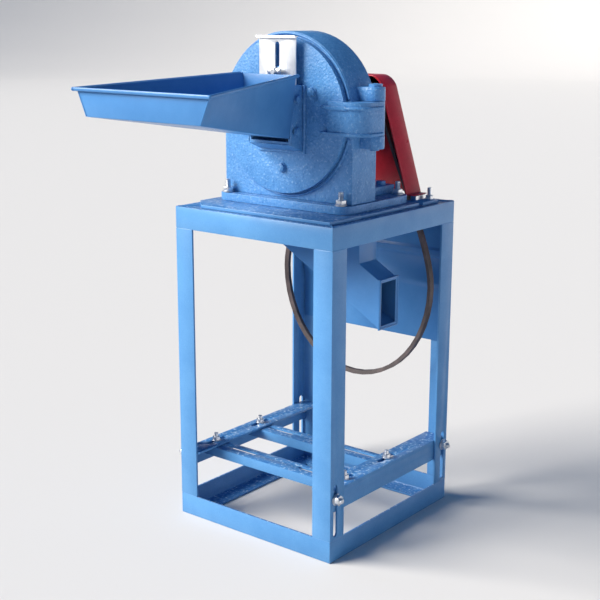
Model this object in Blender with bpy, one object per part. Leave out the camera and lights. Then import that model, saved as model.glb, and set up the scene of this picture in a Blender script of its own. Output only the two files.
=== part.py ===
"""Claw-type hammer mill on an angle-iron stand.

Lengths are in millimetres. add_part turns every mesh into metres and moves the stand's
middle to STAND_MIDDLE, so that the origin lies on the floor under the middle of the
whole outline, hopper included. X runs to the right, Y to the rear (the pulley side) and
Z up. The feed door with its hopper is at the front.
"""

import math

import bmesh
import bpy
from mathutils import Matrix, Vector

MM = 0.001
GAP = 0.3                      # clearance between pieces that touch

# Stand of 40 x 40 x 4 angle iron
STAND_WIDTH = 360
STAND_DEPTH = 380
STAND_HEIGHT = 600
ANGLE = 40
ANGLE_WALL = 4
HALF_W = STAND_WIDTH / 2
HALF_D = STAND_DEPTH / 2
LEG_SLOT = (46, 144)
LEG_SLOT_WIDTH = 11
LEG_SLOT_Y = HALF_D - 15

# Seat plates and cast bed under the mill
SEAT_TOP = STAND_HEIGHT + GAP + 6
BED_BOTTOM = SEAT_TOP + GAP
BED_TOP = 621
BED_HALF_W = 150
BED_Y = (-113, 90)
BED_BOLTS = [(-130, -101.5), (130, -101.5), (-130, 72), (130, 72)]
OUTLET_HALF_W = 95
OUTLET_Y = (-80, -38)

# Casing
AXIS_Z = 768
CASING_R = 145
CASING_Y = (-90, -20)
CHAMBER_R = 131
CHAMBER_BACK = -31
SIEVE_R = 120
SIEVE_WALL = 1.5

# Door, hinge and latch
DOOR_R = 137
DOOR_Y = (-102, CASING_Y[0] - GAP)
FEED_HALF_W = 38
FEED_Z = (737, 783)
HINGE = (164, -52)
KNUCKLE_R = 16.5
HINGE_PIN_R = 8
DOOR_PIVOT = (*HINGE, 0)
DOOR_KNUCKLE_Z = (740.3, 798.2)
CASING_KNUCKLES_Z = [(717.5, 740), (798.5, 822)]
STRAP_START = 108
STRAP_FRONT = -113
STRAP_RIBS_Z = (741, 785)
DOOR_BOLTS = [(67, 812), (-67, 812), (0, 677)]
LATCH = (-158, -45)
LATCH_Z = 769
LATCH_REACH = 76
LATCH_ROD_R = 6
LATCH_PARKED = -170            # degrees from the closed position
LATCH_NUT_START = 59           # from the pin to the nut, clear of the door's lug

# Inlet neck, slide gate and hopper
NECK_HALF_W = 48
NECK_WALL = 6
NECK_FRONT = -137
NECK_SEAT = -112.5
NECK_Z = (721, 823)
NECK_FOOT_Z = 707
GATE_Y = (-115.4, -112.9)
GATE_HALF_W = 41
GATE_Z = (783.5, 906)
GATE_TRAVEL = 46
GATE_SCREW_Z = 845
GATE_SLOT_R = 4.5
HOPPER_FRONT = -443
HOPPER_WALL = 2
HOPPER_BOLT_Y = -128
HOPPER_BOLT_Z = (745, 799)

# Rotor and drive
SHAFT_Y = (-71, 147)
ROTOR_R = 113
ROTOR_DISC_Y = (-43, -35)
ROTOR_HUB_FRONT = -53
ROTOR_NUT_Y = (-63, ROTOR_HUB_FRONT - GAP)
ROTOR_KEY_Y = (-52, -36)
ROTOR_PIVOT = (0, 0, AXIS_Z)
FIXED_DISC_Y = (DOOR_Y[1] + GAP, -83.7)
FIXED_DISC_R = 112
HAMMER_COUNT = 6
HAMMER_TIP_Y = -79
ROTOR_PIN_RING = (8, 72)       # count, ring radius
FIXED_PIN_RINGS = ((12, 88), (6, 59))
FIXED_PIN_TIP_Y = -49
PIN_R = 4
HOUSING_Y = (-10, 90)
HOUSING_R = 44
HOUSING_FOOT = 15               # thickness
HOUSING_BOLTS = [(-95, 15), (95, 15), (-95, 68), (95, 68)]
BEARING_OD_R = 31
BEARING_BORE_R = 15
BEARING_WIDTH = 16
BEARING_STARTS = (HOUSING_Y[0] + GAP, HOUSING_Y[1] - GAP - BEARING_WIDTH)
BALL_COUNT = 8
BELT_Y = 126
BELT_PITCH_R = 53
BELT_SIDE = (173, 440)         # widest point of the hanging loop, X and Z
BELT_BOTTOM_Z = 245
BELT_LEAVE = math.radians(18)  # where each strand leaves the pulley, above horizontal
PULLEY_Y = (112, 136)
PULLEY_KEY_Y = (114, 134)
PULLEY_NUT_Y = (136.3, 145)
KEY_HALF_W = 4
KEY_Z = (AXIS_Z + 8.5, AXIS_Z + 15.5)
GUARD_Y = (101, 151)
GUARD_TOP = (64, 832)          # half width and height
GUARD_FOOT = (131, 615)
GUARD_BOLTS = [(-156, 140), (156, 140)]
SHEET = 2

# Outlet chute
CHUTE_Y = (-45, 8)
CHUTE_TOP_Z = 562
CHUTE_OUTLINE = [(-112, CHUTE_TOP_Z), (130, CHUTE_TOP_Z), (130, 510), (175, 484), (175, 398)]

# Motor frame
MOTOR_RAIL_TOP = 131
MOTOR_RAIL_HALF_X = HALF_W - ANGLE_WALL - GAP
MOTOR_RAIL_HALF_Y = HALF_D - ANGLE_WALL - GAP
MOTOR_BOLT_Z = 117
CROSS_RAIL_FRONTS = {"front": -140, "rear": -8}
CROSS_BOLT_X = 156
CROSS_BOLT_SETBACK = 24
CROSS_RAIL_DROP = 18           # height of the front flange
SLOT_LENGTH = 54
SLOT_WIDTH = 10
MOTOR_SLOT_X = 92
MOTOR_SLOT_LENGTH = 84
MOTOR_PIVOT = (0, 0, MOTOR_RAIL_TOP)

# Fasteners: radius of the shank and of the hexagon's flats
M10 = (5, 8.5)
M8 = (4, 6.5)

# The stand's middle in the finished frame
STAND_MIDDLE = Vector((0, 130.5, 0))

MATERIALS = {
    "blue_paint": ((0.10, 0.33, 0.66), 0.0, 0.38),
    "red_paint": ((0.52, 0.03, 0.04), 0.0, 0.35),
    "zinc": ((0.72, 0.73, 0.74), 1.0, 0.32),
    "dark_steel": ((0.34, 0.34, 0.35), 1.0, 0.42),
    "bearing_steel": ((0.62, 0.62, 0.64), 1.0, 0.2),
    "cast_pulley": ((0.20, 0.20, 0.21), 0.8, 0.5),
    "rubber": ((0.05, 0.045, 0.045), 0.0, 0.75),
}


# ---- shapes -------------------------------------------------------------------------

def lift(point, axis, along):
    """Put a 2D outline point into space, `along` being its place on the axis."""
    a, b = point
    return {"X": (along, a, b), "Y": (a, along, b), "Z": (a, b, along)}[axis]


def prism(bm, outline, axis, start, end):
    """Extrude a closed outline along an axis."""
    low = [bm.verts.new(lift(point, axis, start)) for point in outline]
    high = [bm.verts.new(lift(point, axis, end)) for point in outline]
    bm.faces.new(low)
    bm.faces.new(reversed(high))
    for i in range(len(outline)):
        j = (i + 1) % len(outline)
        bm.faces.new((low[i], high[i], high[j], low[j]))


def tube(bm, outer_ends, inner_ends):
    """Close the wall between two skins, each given as the loops at its two ends."""
    loops = [[bm.verts.new(point) for point in loop]
             for loop in (outer_ends[0], outer_ends[1], inner_ends[1], inner_ends[0])]
    count = len(loops[0])
    for k in range(4):
        here, there = loops[k], loops[(k + 1) % 4]
        for i in range(count):
            j = (i + 1) % count
            bm.faces.new((here[i], there[i], there[j], here[j]))


def frame_prism(bm, outer, inner, axis, start, end):
    """Extrude a closed frame: an outline with a hole of as many points."""
    tube(bm,
         [[lift(p, axis, start) for p in outer], [lift(p, axis, end) for p in outer]],
         [[lift(p, axis, start) for p in inner], [lift(p, axis, end) for p in inner]])


def block(bm, x, y, z):
    prism(bm, rectangle(x, y), "Z", *z)


def rectangle(a, b):
    return [(a[0], b[0]), (a[1], b[0]), (a[1], b[1]), (a[0], b[1])]


def arc(centre, radius, start, end, steps):
    """Points on an arc, angles in degrees, both ends included."""
    angles = [math.radians(start + (end - start) * i / steps) for i in range(steps + 1)]
    return [(centre[0] + radius * math.cos(t), centre[1] + radius * math.sin(t))
            for t in angles]


def circle(centre, radius, sides, turn=0):
    return arc(centre, radius, turn, turn + 360 * (sides - 1) / sides, sides - 1)


def slot(centre, length, width, turn=0):
    """A long hole with round ends; turn 0 lies along the first coordinate."""
    reach = length / 2 - width / 2
    direction = Vector((math.cos(math.radians(turn)), math.sin(math.radians(turn))))
    ends = [Vector(centre) + direction * reach, Vector(centre) - direction * reach]
    return (arc(ends[0], width / 2, turn - 90, turn + 90, 4)
            + arc(ends[1], width / 2, turn + 90, turn + 270, 4))


def rounded_rectangle(a, b, radius, steps=4):
    """A rectangle with round corners, from its two ranges."""
    corners = [(a[1] - radius, b[1] - radius, 0), (a[0] + radius, b[1] - radius, 90),
               (a[0] + radius, b[0] + radius, 180), (a[1] - radius, b[0] + radius, 270)]
    outline = []
    for x, y, turn in corners:
        outline += arc((x, y), radius, turn, turn + 90, steps)
    return outline


def inset_outline(outline, distances):
    """Move each edge of a clockwise outline inwards by its own distance."""
    lines = []
    for i, point in enumerate(outline):
        start, end = Vector(point), Vector(outline[(i + 1) % len(outline)])
        run = (end - start).normalized()
        normal = Vector((run.y, -run.x))
        lines.append((start + normal * distances[i], run))
    moved = []
    for i, (point, run) in enumerate(lines):
        before, before_run = lines[i - 1]
        cross = before_run.x * run.y - before_run.y * run.x
        offset = point - before
        reach = (offset.x * run.y - offset.y * run.x) / cross
        moved.append(tuple(before + before_run * reach))
    return moved


def turned(bm, profile, centre, axis, sides):
    """Turn a closed (radius, along) profile into a ring about an axis."""
    rings = []
    for radius, along in profile:
        rings.append([bm.verts.new(lift(p, axis, along))
                      for p in circle(centre, radius, sides)])
    for k in range(len(rings)):
        here, there = rings[k], rings[(k + 1) % len(rings)]
        for i in range(sides):
            j = (i + 1) % sides
            bm.faces.new((here[i], there[i], there[j], here[j]))


def shaft_rings(bm, profile, centre, axis, sides):
    """Turn an open (radius, along) profile into a solid bar with flat ends."""
    rings = [[bm.verts.new(lift(p, axis, along)) for p in circle(centre, radius, sides)]
             for radius, along in profile]
    for here, there in zip(rings, rings[1:]):
        for i in range(sides):
            j = (i + 1) % sides
            bm.faces.new((here[i], there[i], there[j], here[j]))
    bm.faces.new(rings[0])
    bm.faces.new(reversed(rings[-1]))


def rod(bm, centre, axis, radius, start, end, sides=12):
    prism(bm, circle(centre, radius, sides), axis, start, end)


def fastener(bm, centre, axis, stations, turn=15):
    """A bolt, stud or nut as one stack; each station is (shape, radius, place on axis)."""
    sides = 12
    rings = []
    for shape, radius, along in stations:
        loop = circle(centre, radius, sides, turn)
        if shape == "hex":
            corners = circle(centre, radius / math.cos(math.pi / 6), 6, turn)
            for i in range(6):
                ahead = Vector(corners[(i + 1) % 6])
                loop[2 * i] = corners[i]
                loop[2 * i + 1] = tuple((Vector(corners[i]) + ahead) / 2)
        rings.append([bm.verts.new(lift(p, axis, along)) for p in loop])
    for here, there in zip(rings, rings[1:]):
        for i in range(sides):
            j = (i + 1) % sides
            bm.faces.new((here[i], there[i], there[j], here[j]))
    bm.faces.new(rings[0])
    bm.faces.new(reversed(rings[-1]))


def headed(size, head, seat, end):
    """Stations of a bolt: hexagon head, then its shank."""
    shank, flat = size
    return [("hex", flat, head), ("hex", flat, seat), ("round", shank, seat),
            ("round", shank, end)]


def clamped(size, head, under, seat, nut_top, end):
    """Stations of a bolt with a washer and a nut on the far side."""
    shank, flat = size
    step = math.copysign(1, end - seat)
    return headed(size, head, under, seat)[:4] + [
        ("round", flat + 2.5, seat), ("round", flat + 2.5, seat + step * 1.7),
        ("hex", flat, seat + step * 1.7), ("hex", flat, nut_top),
        ("round", shank, nut_top), ("round", shank, end)]


def nut(bm, centre, axis, size, start, end, turn=0):
    """A hexagon nut with a clear bore, six-sided like its outside."""
    shank, flat = size
    frame_prism(bm, circle(centre, flat / math.cos(math.pi / 6), 6, turn),
                circle(centre, (shank + GAP) / math.cos(math.pi / 6), 6, turn),
                axis, start, end)


# ---- objects ------------------------------------------------------------------------

def clear_scene():
    for obj in list(bpy.data.objects):
        bpy.data.objects.remove(obj, do_unlink=True)


def make_materials():
    made = {}
    for name, (colour, metallic, roughness) in MATERIALS.items():
        material = bpy.data.materials.new(name)
        material.use_nodes = True
        shader = material.node_tree.nodes["Principled BSDF"]
        shader.inputs["Base Color"].default_value = (*colour, 1)
        shader.inputs["Metallic"].default_value = metallic
        shader.inputs["Roughness"].default_value = roughness
        made[name] = material
    return made


def add_part(name, bm, material, pivot=(0, 0, 0)):
    """Make an object from a millimetre mesh, its origin at the pivot."""
    bmesh.ops.recalc_face_normals(bm, faces=bm.faces)
    bmesh.ops.translate(bm, verts=bm.verts, vec=-Vector(pivot))
    bmesh.ops.scale(bm, verts=bm.verts, vec=(MM, MM, MM))
    mesh = bpy.data.meshes.new(name)
    bm.to_mesh(mesh)
    bm.free()
    mesh.shade_smooth()
    mesh.set_sharp_from_angle(angle=math.radians(32))
    if material:
        mesh.materials.append(MADE[material])
    obj = bpy.data.objects.new(name, mesh)
    obj.location = (Vector(pivot) + STAND_MIDDLE) * MM
    bpy.context.scene.collection.objects.link(obj)
    return obj


def boolean(obj, bm, operation):
    """Cut a helper mesh out of an object, or join it on."""
    helper = add_part(f"{obj.name}_{operation.lower()}", bm, None)
    helper.hide_render = True
    helper.display_type = "WIRE"
    modifier = obj.modifiers.new(operation.lower(), "BOOLEAN")
    modifier.operation = operation
    modifier.solver = "EXACT"
    modifier.object = helper


def cut(obj, bm):
    boolean(obj, bm, "DIFFERENCE")


def join(obj, bm):
    boolean(obj, bm, "UNION")


# ---- stand --------------------------------------------------------------------------

def make_legs():
    for side, side_name in ((-1, "left"), (1, "right")):
        for end, end_name in ((-1, "front"), (1, "rear")):
            bm = bmesh.new()
            x, y = side * HALF_W, end * HALF_D
            outline = [(x, y), (x - side * ANGLE, y),
                       (x - side * ANGLE, y - end * ANGLE_WALL),
                       (x - side * ANGLE_WALL, y - end * ANGLE_WALL),
                       (x - side * ANGLE_WALL, y - end * ANGLE), (x, y - end * ANGLE)]
            prism(bm, outline, "Z", ANGLE + GAP, STAND_HEIGHT - ANGLE - GAP)
            leg = add_part(f"leg_{end_name}_{side_name}", bm, "blue_paint")
            cutter = bmesh.new()
            middle, length = sum(LEG_SLOT) / 2, LEG_SLOT[1] - LEG_SLOT[0]
            prism(cutter, slot((end * LEG_SLOT_Y, middle), length, LEG_SLOT_WIDTH, 90),
                  "X", x - side * 2 * ANGLE_WALL, x + side * ANGLE_WALL)
            cut(leg, cutter)


def mitred_rail(name, along_x, side, profile):
    """A rail of the square frame; profile holds (inward, height) pairs."""
    bm = bmesh.new()
    half, reach = (HALF_D, HALF_W) if along_x else (HALF_W, HALF_D)
    ends = []
    for end in (-1, 1):
        loop = []
        for inward, height in profile:
            across = side * (half - inward)
            along = end * (reach - inward - GAP / 2)
            loop.append((along, across, height) if along_x else (across, along, height))
        ends.append([bm.verts.new(point) for point in loop])
    bm.faces.new(ends[0])
    bm.faces.new(reversed(ends[1]))
    for i in range(len(profile)):
        j = (i + 1) % len(profile)
        bm.faces.new((ends[0][i], ends[1][i], ends[1][j], ends[0][j]))
    add_part(name, bm, "blue_paint")


def make_rail_frames():
    top, wall = STAND_HEIGHT, ANGLE_WALL
    top_profile = [(0, top), (ANGLE, top), (ANGLE, top - wall), (wall, top - wall),
                   (wall, top - ANGLE), (0, top - ANGLE)]
    floor_profile = [(0, 0), (ANGLE, 0), (ANGLE, wall), (wall, wall), (wall, ANGLE),
                     (0, ANGLE)]
    for level, profile in (("top", top_profile), ("floor", floor_profile)):
        mitred_rail(f"{level}_rail_front", True, -1, profile)
        mitred_rail(f"{level}_rail_rear", True, 1, profile)
        mitred_rail(f"{level}_rail_left", False, -1, profile)
        mitred_rail(f"{level}_rail_right", False, 1, profile)


def bolt_holes(bm, points, bottom, top, radius=6.5):
    for point in points:
        rod(bm, point, "Z", radius, bottom, top)


def make_seat_plates():
    """Plates under the bed: the front one has a slanting cut, the rear one is a U."""
    bm = bmesh.new()
    outline = [(-165, -140), (-128, -178), (165, -178), (165, -88), (-165, -88)]
    prism(bm, outline, "Z", STAND_HEIGHT + GAP, SEAT_TOP)
    front = add_part("seat_plate_front", bm, "blue_paint")
    cutter = bmesh.new()
    bolt_holes(cutter, BED_BOLTS[:2], STAND_HEIGHT - 10, SEAT_TOP + 10)
    cut(front, cutter)
    bm = bmesh.new()
    start, arm = -88 + GAP, 142
    outline = [(-165, start), (-arm, start), (-arm, 50), (arm, 50), (arm, start),
               (165, start), (165, 92), (-165, 92)]
    prism(bm, outline, "Z", STAND_HEIGHT + GAP, SEAT_TOP)
    rear = add_part("seat_plate_rear", bm, "blue_paint")
    cutter = bmesh.new()
    bolt_holes(cutter, BED_BOLTS[2:], STAND_HEIGHT - 10, SEAT_TOP + 10)
    cut(rear, cutter)


def make_rear_panel():
    """Folded sheet on the inside of the rear legs, with two pressed ribs."""
    back = HALF_D - ANGLE_WALL - GAP
    rib = 5
    face = [(back, 322), (back, 419), (back - rib, 425), (back - rib, 441), (back, 447),
            (back, 486), (back - rib, 491), (back - rib, 502), (back, 507), (back, 559)]
    outline = face + [(y - SHEET, z) for y, z in reversed(face)]
    bm = bmesh.new()
    prism(bm, outline, "X", -174, 174)
    add_part("rear_panel", bm, "blue_paint")


# ---- bed, casing and bearings -------------------------------------------------------

def make_bed():
    bm = bmesh.new()
    prism(bm, rounded_rectangle((-BED_HALF_W, BED_HALF_W), BED_Y, 24), "Z",
          BED_BOTTOM, BED_TOP)
    bed = add_part("base_plate", bm, "blue_paint")
    cutter = bmesh.new()
    block(cutter, (-OUTLET_HALF_W, OUTLET_HALF_W), OUTLET_Y, (BED_BOTTOM - 5, BED_TOP + 5))
    bolt_holes(cutter, BED_BOLTS, BED_BOTTOM - 5, BED_TOP + 5)
    cut(bed, cutter)


def make_casing():
    """Arched drum housing with its chamber open to the front, and both hinge lugs."""
    bottom = BED_TOP + GAP
    outline = ([(CASING_R, bottom)] + arc((0, AXIS_Z), CASING_R, 0, 180, 32)
               + [(-CASING_R, bottom)])
    bm = bmesh.new()
    prism(bm, outline, "Y", *CASING_Y)
    casing = add_part("casing", bm, "blue_paint")

    lugs = bmesh.new()
    for low, high in CASING_KNUCKLES_Z:
        plan = (arc(HINGE, KNUCKLE_R, -90, 90, 10)
                + [(CASING_R - 8, HINGE[1] + KNUCKLE_R),
                   (CASING_R - 8, HINGE[1] - KNUCKLE_R)])
        prism(lugs, plan, "Z", low, high)
    for low, high in ((LATCH_Z - 16, LATCH_Z - 8), (LATCH_Z + 8, LATCH_Z + 16)):
        plan = (arc(LATCH, 12, 90, 270, 8)
                + [(8 - CASING_R, LATCH[1] - 12), (8 - CASING_R, LATCH[1] + 12)])
        prism(lugs, plan, "Z", low, high)
    join(casing, lugs)

    hollow = bmesh.new()
    rod(hollow, (0, AXIS_Z), "Y", CHAMBER_R, CASING_Y[0] - 5, CHAMBER_BACK, 48)
    cut(casing, hollow)
    openings = bmesh.new()
    rod(openings, (0, AXIS_Z), "Y", 22, CHAMBER_BACK - 5, CASING_Y[1] + 5, 24)
    block(openings, (-OUTLET_HALF_W, OUTLET_HALF_W), OUTLET_Y, (BED_TOP - 5, 690))
    low, high = CASING_KNUCKLES_Z[0][0] - 5, CASING_KNUCKLES_Z[1][1] + 5
    rod(openings, HINGE, "Z", HINGE_PIN_R + GAP, low, high, 16)
    cut(casing, openings)
    pin = bmesh.new()
    rod(pin, LATCH, "Z", 5, LATCH_Z - 18, LATCH_Z + 18, 12)
    join(casing, pin)


def make_sieve():
    """Ring sieve: a thin drum with long holes all round."""
    bm = bmesh.new()
    outer = SIEVE_R + SIEVE_WALL
    front, back = CASING_Y[0] + GAP, CHAMBER_BACK - GAP
    turned(bm, [(SIEVE_R, front), (outer, front), (outer, back), (SIEVE_R, back)],
           (0, AXIS_Z), "Y", 40)
    sieve = add_part("sieve_ring", bm, "dark_steel")
    cutter = bmesh.new()
    half = 3
    for step in range(20):
        turn = math.radians(18 * step + 4.5)
        radial = Vector((math.cos(turn), math.sin(turn)))
        across = Vector((-radial.y, radial.x))
        middle = Vector((0, AXIS_Z))
        corners = [middle + radial * r + across * side * half
                   for r, side in ((SIEVE_R - 4, -1), (outer + 4, -1),
                                   (outer + 4, 1), (SIEVE_R - 4, 1))]
        prism(cutter, [tuple(point) for point in corners], "Y", front + 10, back - 10)
    cut(sieve, cutter)


def make_bearing_housing():
    bm = bmesh.new()
    foot_top = BED_TOP + GAP + HOUSING_FOOT
    web = [(-60, foot_top - 1), (60, foot_top - 1), (30, AXIS_Z - 20), (-30, AXIS_Z - 20)]
    rod(bm, (0, AXIS_Z), "Y", HOUSING_R, *HOUSING_Y, 32)
    housing = add_part("bearing_housing", bm, "blue_paint")
    pedestal = bmesh.new()
    prism(pedestal, web, "Y", 2, 78)
    join(housing, pedestal)
    foot = bmesh.new()
    block(foot, (-112, 112), (-6, 88), (BED_TOP + GAP, foot_top))
    join(housing, foot)
    bores = bmesh.new()
    seat = BEARING_WIDTH + 2 * GAP
    front, rear = HOUSING_Y
    shaft_rings(bores, [(BEARING_OD_R, front - 5), (BEARING_OD_R, front + seat),
                        (23, front + seat), (23, rear - seat),
                        (BEARING_OD_R, rear - seat), (BEARING_OD_R, rear + 5)],
                (0, AXIS_Z), "Y", 32)
    cut(housing, bores)
    bolts = bmesh.new()
    for point in HOUSING_BOLTS:
        fastener(bolts, point, "Z", [("hex", M10[1], foot_top - 2),
                                     ("hex", M10[1], foot_top + 7)])
    join(housing, bolts)


def make_bearings():
    """Two deep-groove ball bearings, 62 mm across and 16 mm wide."""
    for name, start in zip(("front", "rear"), BEARING_STARTS):
        end = start + BEARING_WIDTH
        middle = start + BEARING_WIDTH / 2
        bm = bmesh.new()
        turned(bm, [(27, start), (BEARING_OD_R - GAP, start),
                    (BEARING_OD_R - GAP, end), (27, end)], (0, AXIS_Z), "Y", 24)
        add_part(f"bearing_outer_{name}", bm, "bearing_steel")
        bm = bmesh.new()
        turned(bm, [(BEARING_BORE_R + GAP, start), (19, start), (19, end),
                    (BEARING_BORE_R + GAP, end)], (0, AXIS_Z), "Y", 24)
        add_part(f"bearing_inner_{name}", bm, "bearing_steel", ROTOR_PIVOT)
        bm = bmesh.new()
        turned(bm, [(22, middle - 2), (24, middle - 2), (24, middle + 2),
                    (22, middle + 2)], (0, AXIS_Z), "Y", 16)
        cage = add_part(f"ball_cage_{name}", bm, "bearing_steel", ROTOR_PIVOT)
        balls = bmesh.new()
        for x, z in circle((0, AXIS_Z), 23, BALL_COUNT):
            ball = bmesh.ops.create_icosphere(balls, subdivisions=1, radius=3.6)
            bmesh.ops.translate(balls, verts=ball["verts"], vec=(x, middle, z))
        join(cage, balls)


def make_bearing_caps():
    front, rear = HOUSING_Y
    for name, start, end in (("front", CASING_Y[1] + GAP, front - GAP),
                             ("rear", rear + GAP, rear + 7)):
        bm = bmesh.new()
        turned(bm, [(BEARING_BORE_R + 1, start), (HOUSING_R, start), (HOUSING_R, end),
                    (BEARING_BORE_R + 1, end)], (0, AXIS_Z), "Y", 24)
        cap = add_part(f"bearing_cap_{name}", bm, "blue_paint")
        if name == "rear":
            screws = bmesh.new()
            for point in circle((0, AXIS_Z), 37, 4, 45):
                fastener(screws, point, "Y", [("hex", 4, end - 1), ("hex", 4, end + 4)])
            join(cap, screws)


def make_bed_bolts():
    for number, point in enumerate(BED_BOLTS, 1):
        bm = bmesh.new()
        under, seat = STAND_HEIGHT, BED_TOP + GAP
        fastener(bm, point, "Z", clamped(M10, under - 6.5, under, seat, seat + 10,
                                         seat + 24))
        add_part(f"bed_bolt_{number}", bm, "zinc")


# ---- rotor and drive ----------------------------------------------------------------

def key(bm, span, grow=0):
    """A parallel key on top of the shaft, or its keyway when grown by the clearance."""
    block(bm, (-KEY_HALF_W - grow, KEY_HALF_W + grow), (span[0] - grow, span[1] + grow),
          (KEY_Z[0] - grow, KEY_Z[1] + grow))


def make_shaft():
    start, end = SHAFT_Y
    disc_end, journal, hub_end = ROTOR_HUB_FRONT - GAP, HOUSING_Y, PULLEY_Y[1] + GAP
    steps = [(8, start), (8, disc_end), (12, disc_end), (12, -33), (14, -33),
             (14, journal[0] - 2), (BEARING_BORE_R, journal[0] - 2),
             (BEARING_BORE_R, journal[1] + 2), (14, journal[1] + 2), (14, 106),
             (12, 106), (12, hub_end - GAP), (8, hub_end - GAP), (8, end)]
    bm = bmesh.new()
    shaft_rings(bm, steps, (0, AXIS_Z), "Y", 16)
    shaft = add_part("shaft", bm, "dark_steel", ROTOR_PIVOT)
    cutter = bmesh.new()
    key(cutter, PULLEY_KEY_Y, GAP)
    cut(shaft, cutter)
    disc_key = bmesh.new()
    key(disc_key, ROTOR_KEY_Y)
    join(shaft, disc_key)
    bm = bmesh.new()
    key(bm, PULLEY_KEY_Y)
    add_part("pulley_key", bm, "dark_steel", ROTOR_PIVOT)


def make_rotor_disc():
    bm = bmesh.new()
    front, back = ROTOR_DISC_Y
    turned(bm, [(12 + GAP, ROTOR_HUB_FRONT), (26, ROTOR_HUB_FRONT), (26, front),
                (ROTOR_R, front),
                (ROTOR_R, back), (12 + GAP, back)], (0, AXIS_Z), "Y", 36)
    disc = add_part("rotor_disc", bm, "dark_steel", ROTOR_PIVOT)
    cutter = bmesh.new()
    block(cutter, (-KEY_HALF_W - GAP, KEY_HALF_W + GAP), (ROTOR_HUB_FRONT - 5, back + 5),
          (AXIS_Z + 5, KEY_Z[1] + GAP))
    cut(disc, cutter)
    pins = bmesh.new()
    count, ring = ROTOR_PIN_RING
    for point in circle((0, AXIS_Z), ring, count, 10):
        rod(pins, point, "Y", PIN_R, HAMMER_TIP_Y, front + 2, 8)
    join(disc, pins)


def make_hammer_ring():
    """Flat hammers standing on a ring that is bolted to the rim of the rotor disc."""
    back = ROTOR_DISC_Y[0] - GAP
    front = back - 4
    bm = bmesh.new()
    turned(bm, [(98, front), (ROTOR_R - 1, front), (ROTOR_R - 1, back), (98, back)],
           (0, AXIS_Z), "Y", 36)
    ring = add_part("hammer_ring", bm, "dark_steel", ROTOR_PIVOT)
    hammers = bmesh.new()
    for step in range(HAMMER_COUNT):
        turn = math.radians(360 * step / HAMMER_COUNT + 20)
        radial = Vector((math.cos(turn), math.sin(turn)))
        across = Vector((-radial.y, radial.x))
        middle = Vector((0, AXIS_Z))
        outline = [tuple(middle + radial * r + across * side)
                   for r, side in ((99, -13), (ROTOR_R - 2, -11), (ROTOR_R - 2, 11),
                                   (99, 13))]
        prism(hammers, outline, "Y", HAMMER_TIP_Y, front + 2)
    join(ring, hammers)


def make_shaft_nuts():
    for name, (low, high) in (("rotor_nut", ROTOR_NUT_Y), ("pulley_nut", PULLEY_NUT_Y)):
        bm = bmesh.new()
        nut(bm, (0, AXIS_Z), "Y", (8, 13), low, high)
        add_part(name, bm, "zinc", ROTOR_PIVOT)


def make_pulley():
    bm = bmesh.new()
    start, end = PULLEY_Y
    rim = BELT_PITCH_R + 4.5
    profile = [(12 + GAP, start), (24, start), (28, start + 4), (rim, start + 4),
               (rim, BELT_Y - 7.4), (45, BELT_Y - 3.3), (45, BELT_Y + 3.3),
               (rim, BELT_Y + 7.4), (rim, end), (12 + GAP, end)]
    turned(bm, profile, (0, AXIS_Z), "Y", 36)
    pulley = add_part("pulley", bm, "cast_pulley", ROTOR_PIVOT)
    cutter = bmesh.new()
    block(cutter, (-KEY_HALF_W - GAP, KEY_HALF_W + GAP), (start - 5, end + 5),
          (AXIS_Z + 5, KEY_Z[1] + GAP))
    cut(pulley, cutter)


def bezier(points, steps):
    """Points on a cubic Bezier curve, the last one left out."""
    a, b, c, d = (Vector(point) for point in points)
    curve = []
    for i in range(steps):
        t = i / steps
        s = 1 - t
        curve.append(a * s ** 3 + b * 3 * s * s * t + c * 3 * s * t * t + d * t ** 3)
    return curve


def belt_path():
    """Centre line of the belt in X and Z: over the pulley, then a hanging loop."""
    wrap = [Vector(p) for p in arc((0, AXIS_Z), BELT_PITCH_R, 90,
                                   math.degrees(BELT_LEAVE), 10)]
    leave = wrap.pop()
    down = Vector((math.sin(BELT_LEAVE), -math.cos(BELT_LEAVE)))
    side, bottom = Vector(BELT_SIDE), Vector((0, BELT_BOTTOM_Z))
    strand = bezier([leave, leave + down * 150, side + Vector((0, 80)), side], 14)
    round_part = 0.5523            # handle share that makes a quarter ellipse
    drop = side - bottom
    loop = bezier([side, side - Vector((0, drop.y * round_part)),
                   bottom + Vector((drop.x * round_part, 0)), bottom], 12)
    right = wrap + strand + loop + [bottom]
    left = [Vector((-p.x, p.y)) for p in reversed(right[1:-1])]
    return right + left


def make_belt():
    """Endless V-belt, 13 mm wide and 8 mm deep."""
    path = belt_path()
    bm = bmesh.new()
    loops = []
    for i, point in enumerate(path):
        run = (path[(i + 1) % len(path)] - path[i - 1]).normalized()
        outward = Vector((-run.y, run.x))
        loops.append([bm.verts.new((point.x + outward.x * lift_by, BELT_Y + across,
                                    point.y + outward.y * lift_by))
                      for lift_by, across in ((3.5, -6.5), (3.5, 6.5), (-4.5, 3.75),
                                              (-4.5, -3.75))])
    for i, here in enumerate(loops):
        there = loops[(i + 1) % len(loops)]
        for k in range(4):
            m = (k + 1) % 4
            bm.faces.new((here[k], here[m], there[m], there[k]))
    add_part("v_belt", bm, "rubber")


# ---- belt guard ---------------------------------------------------------------------

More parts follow.
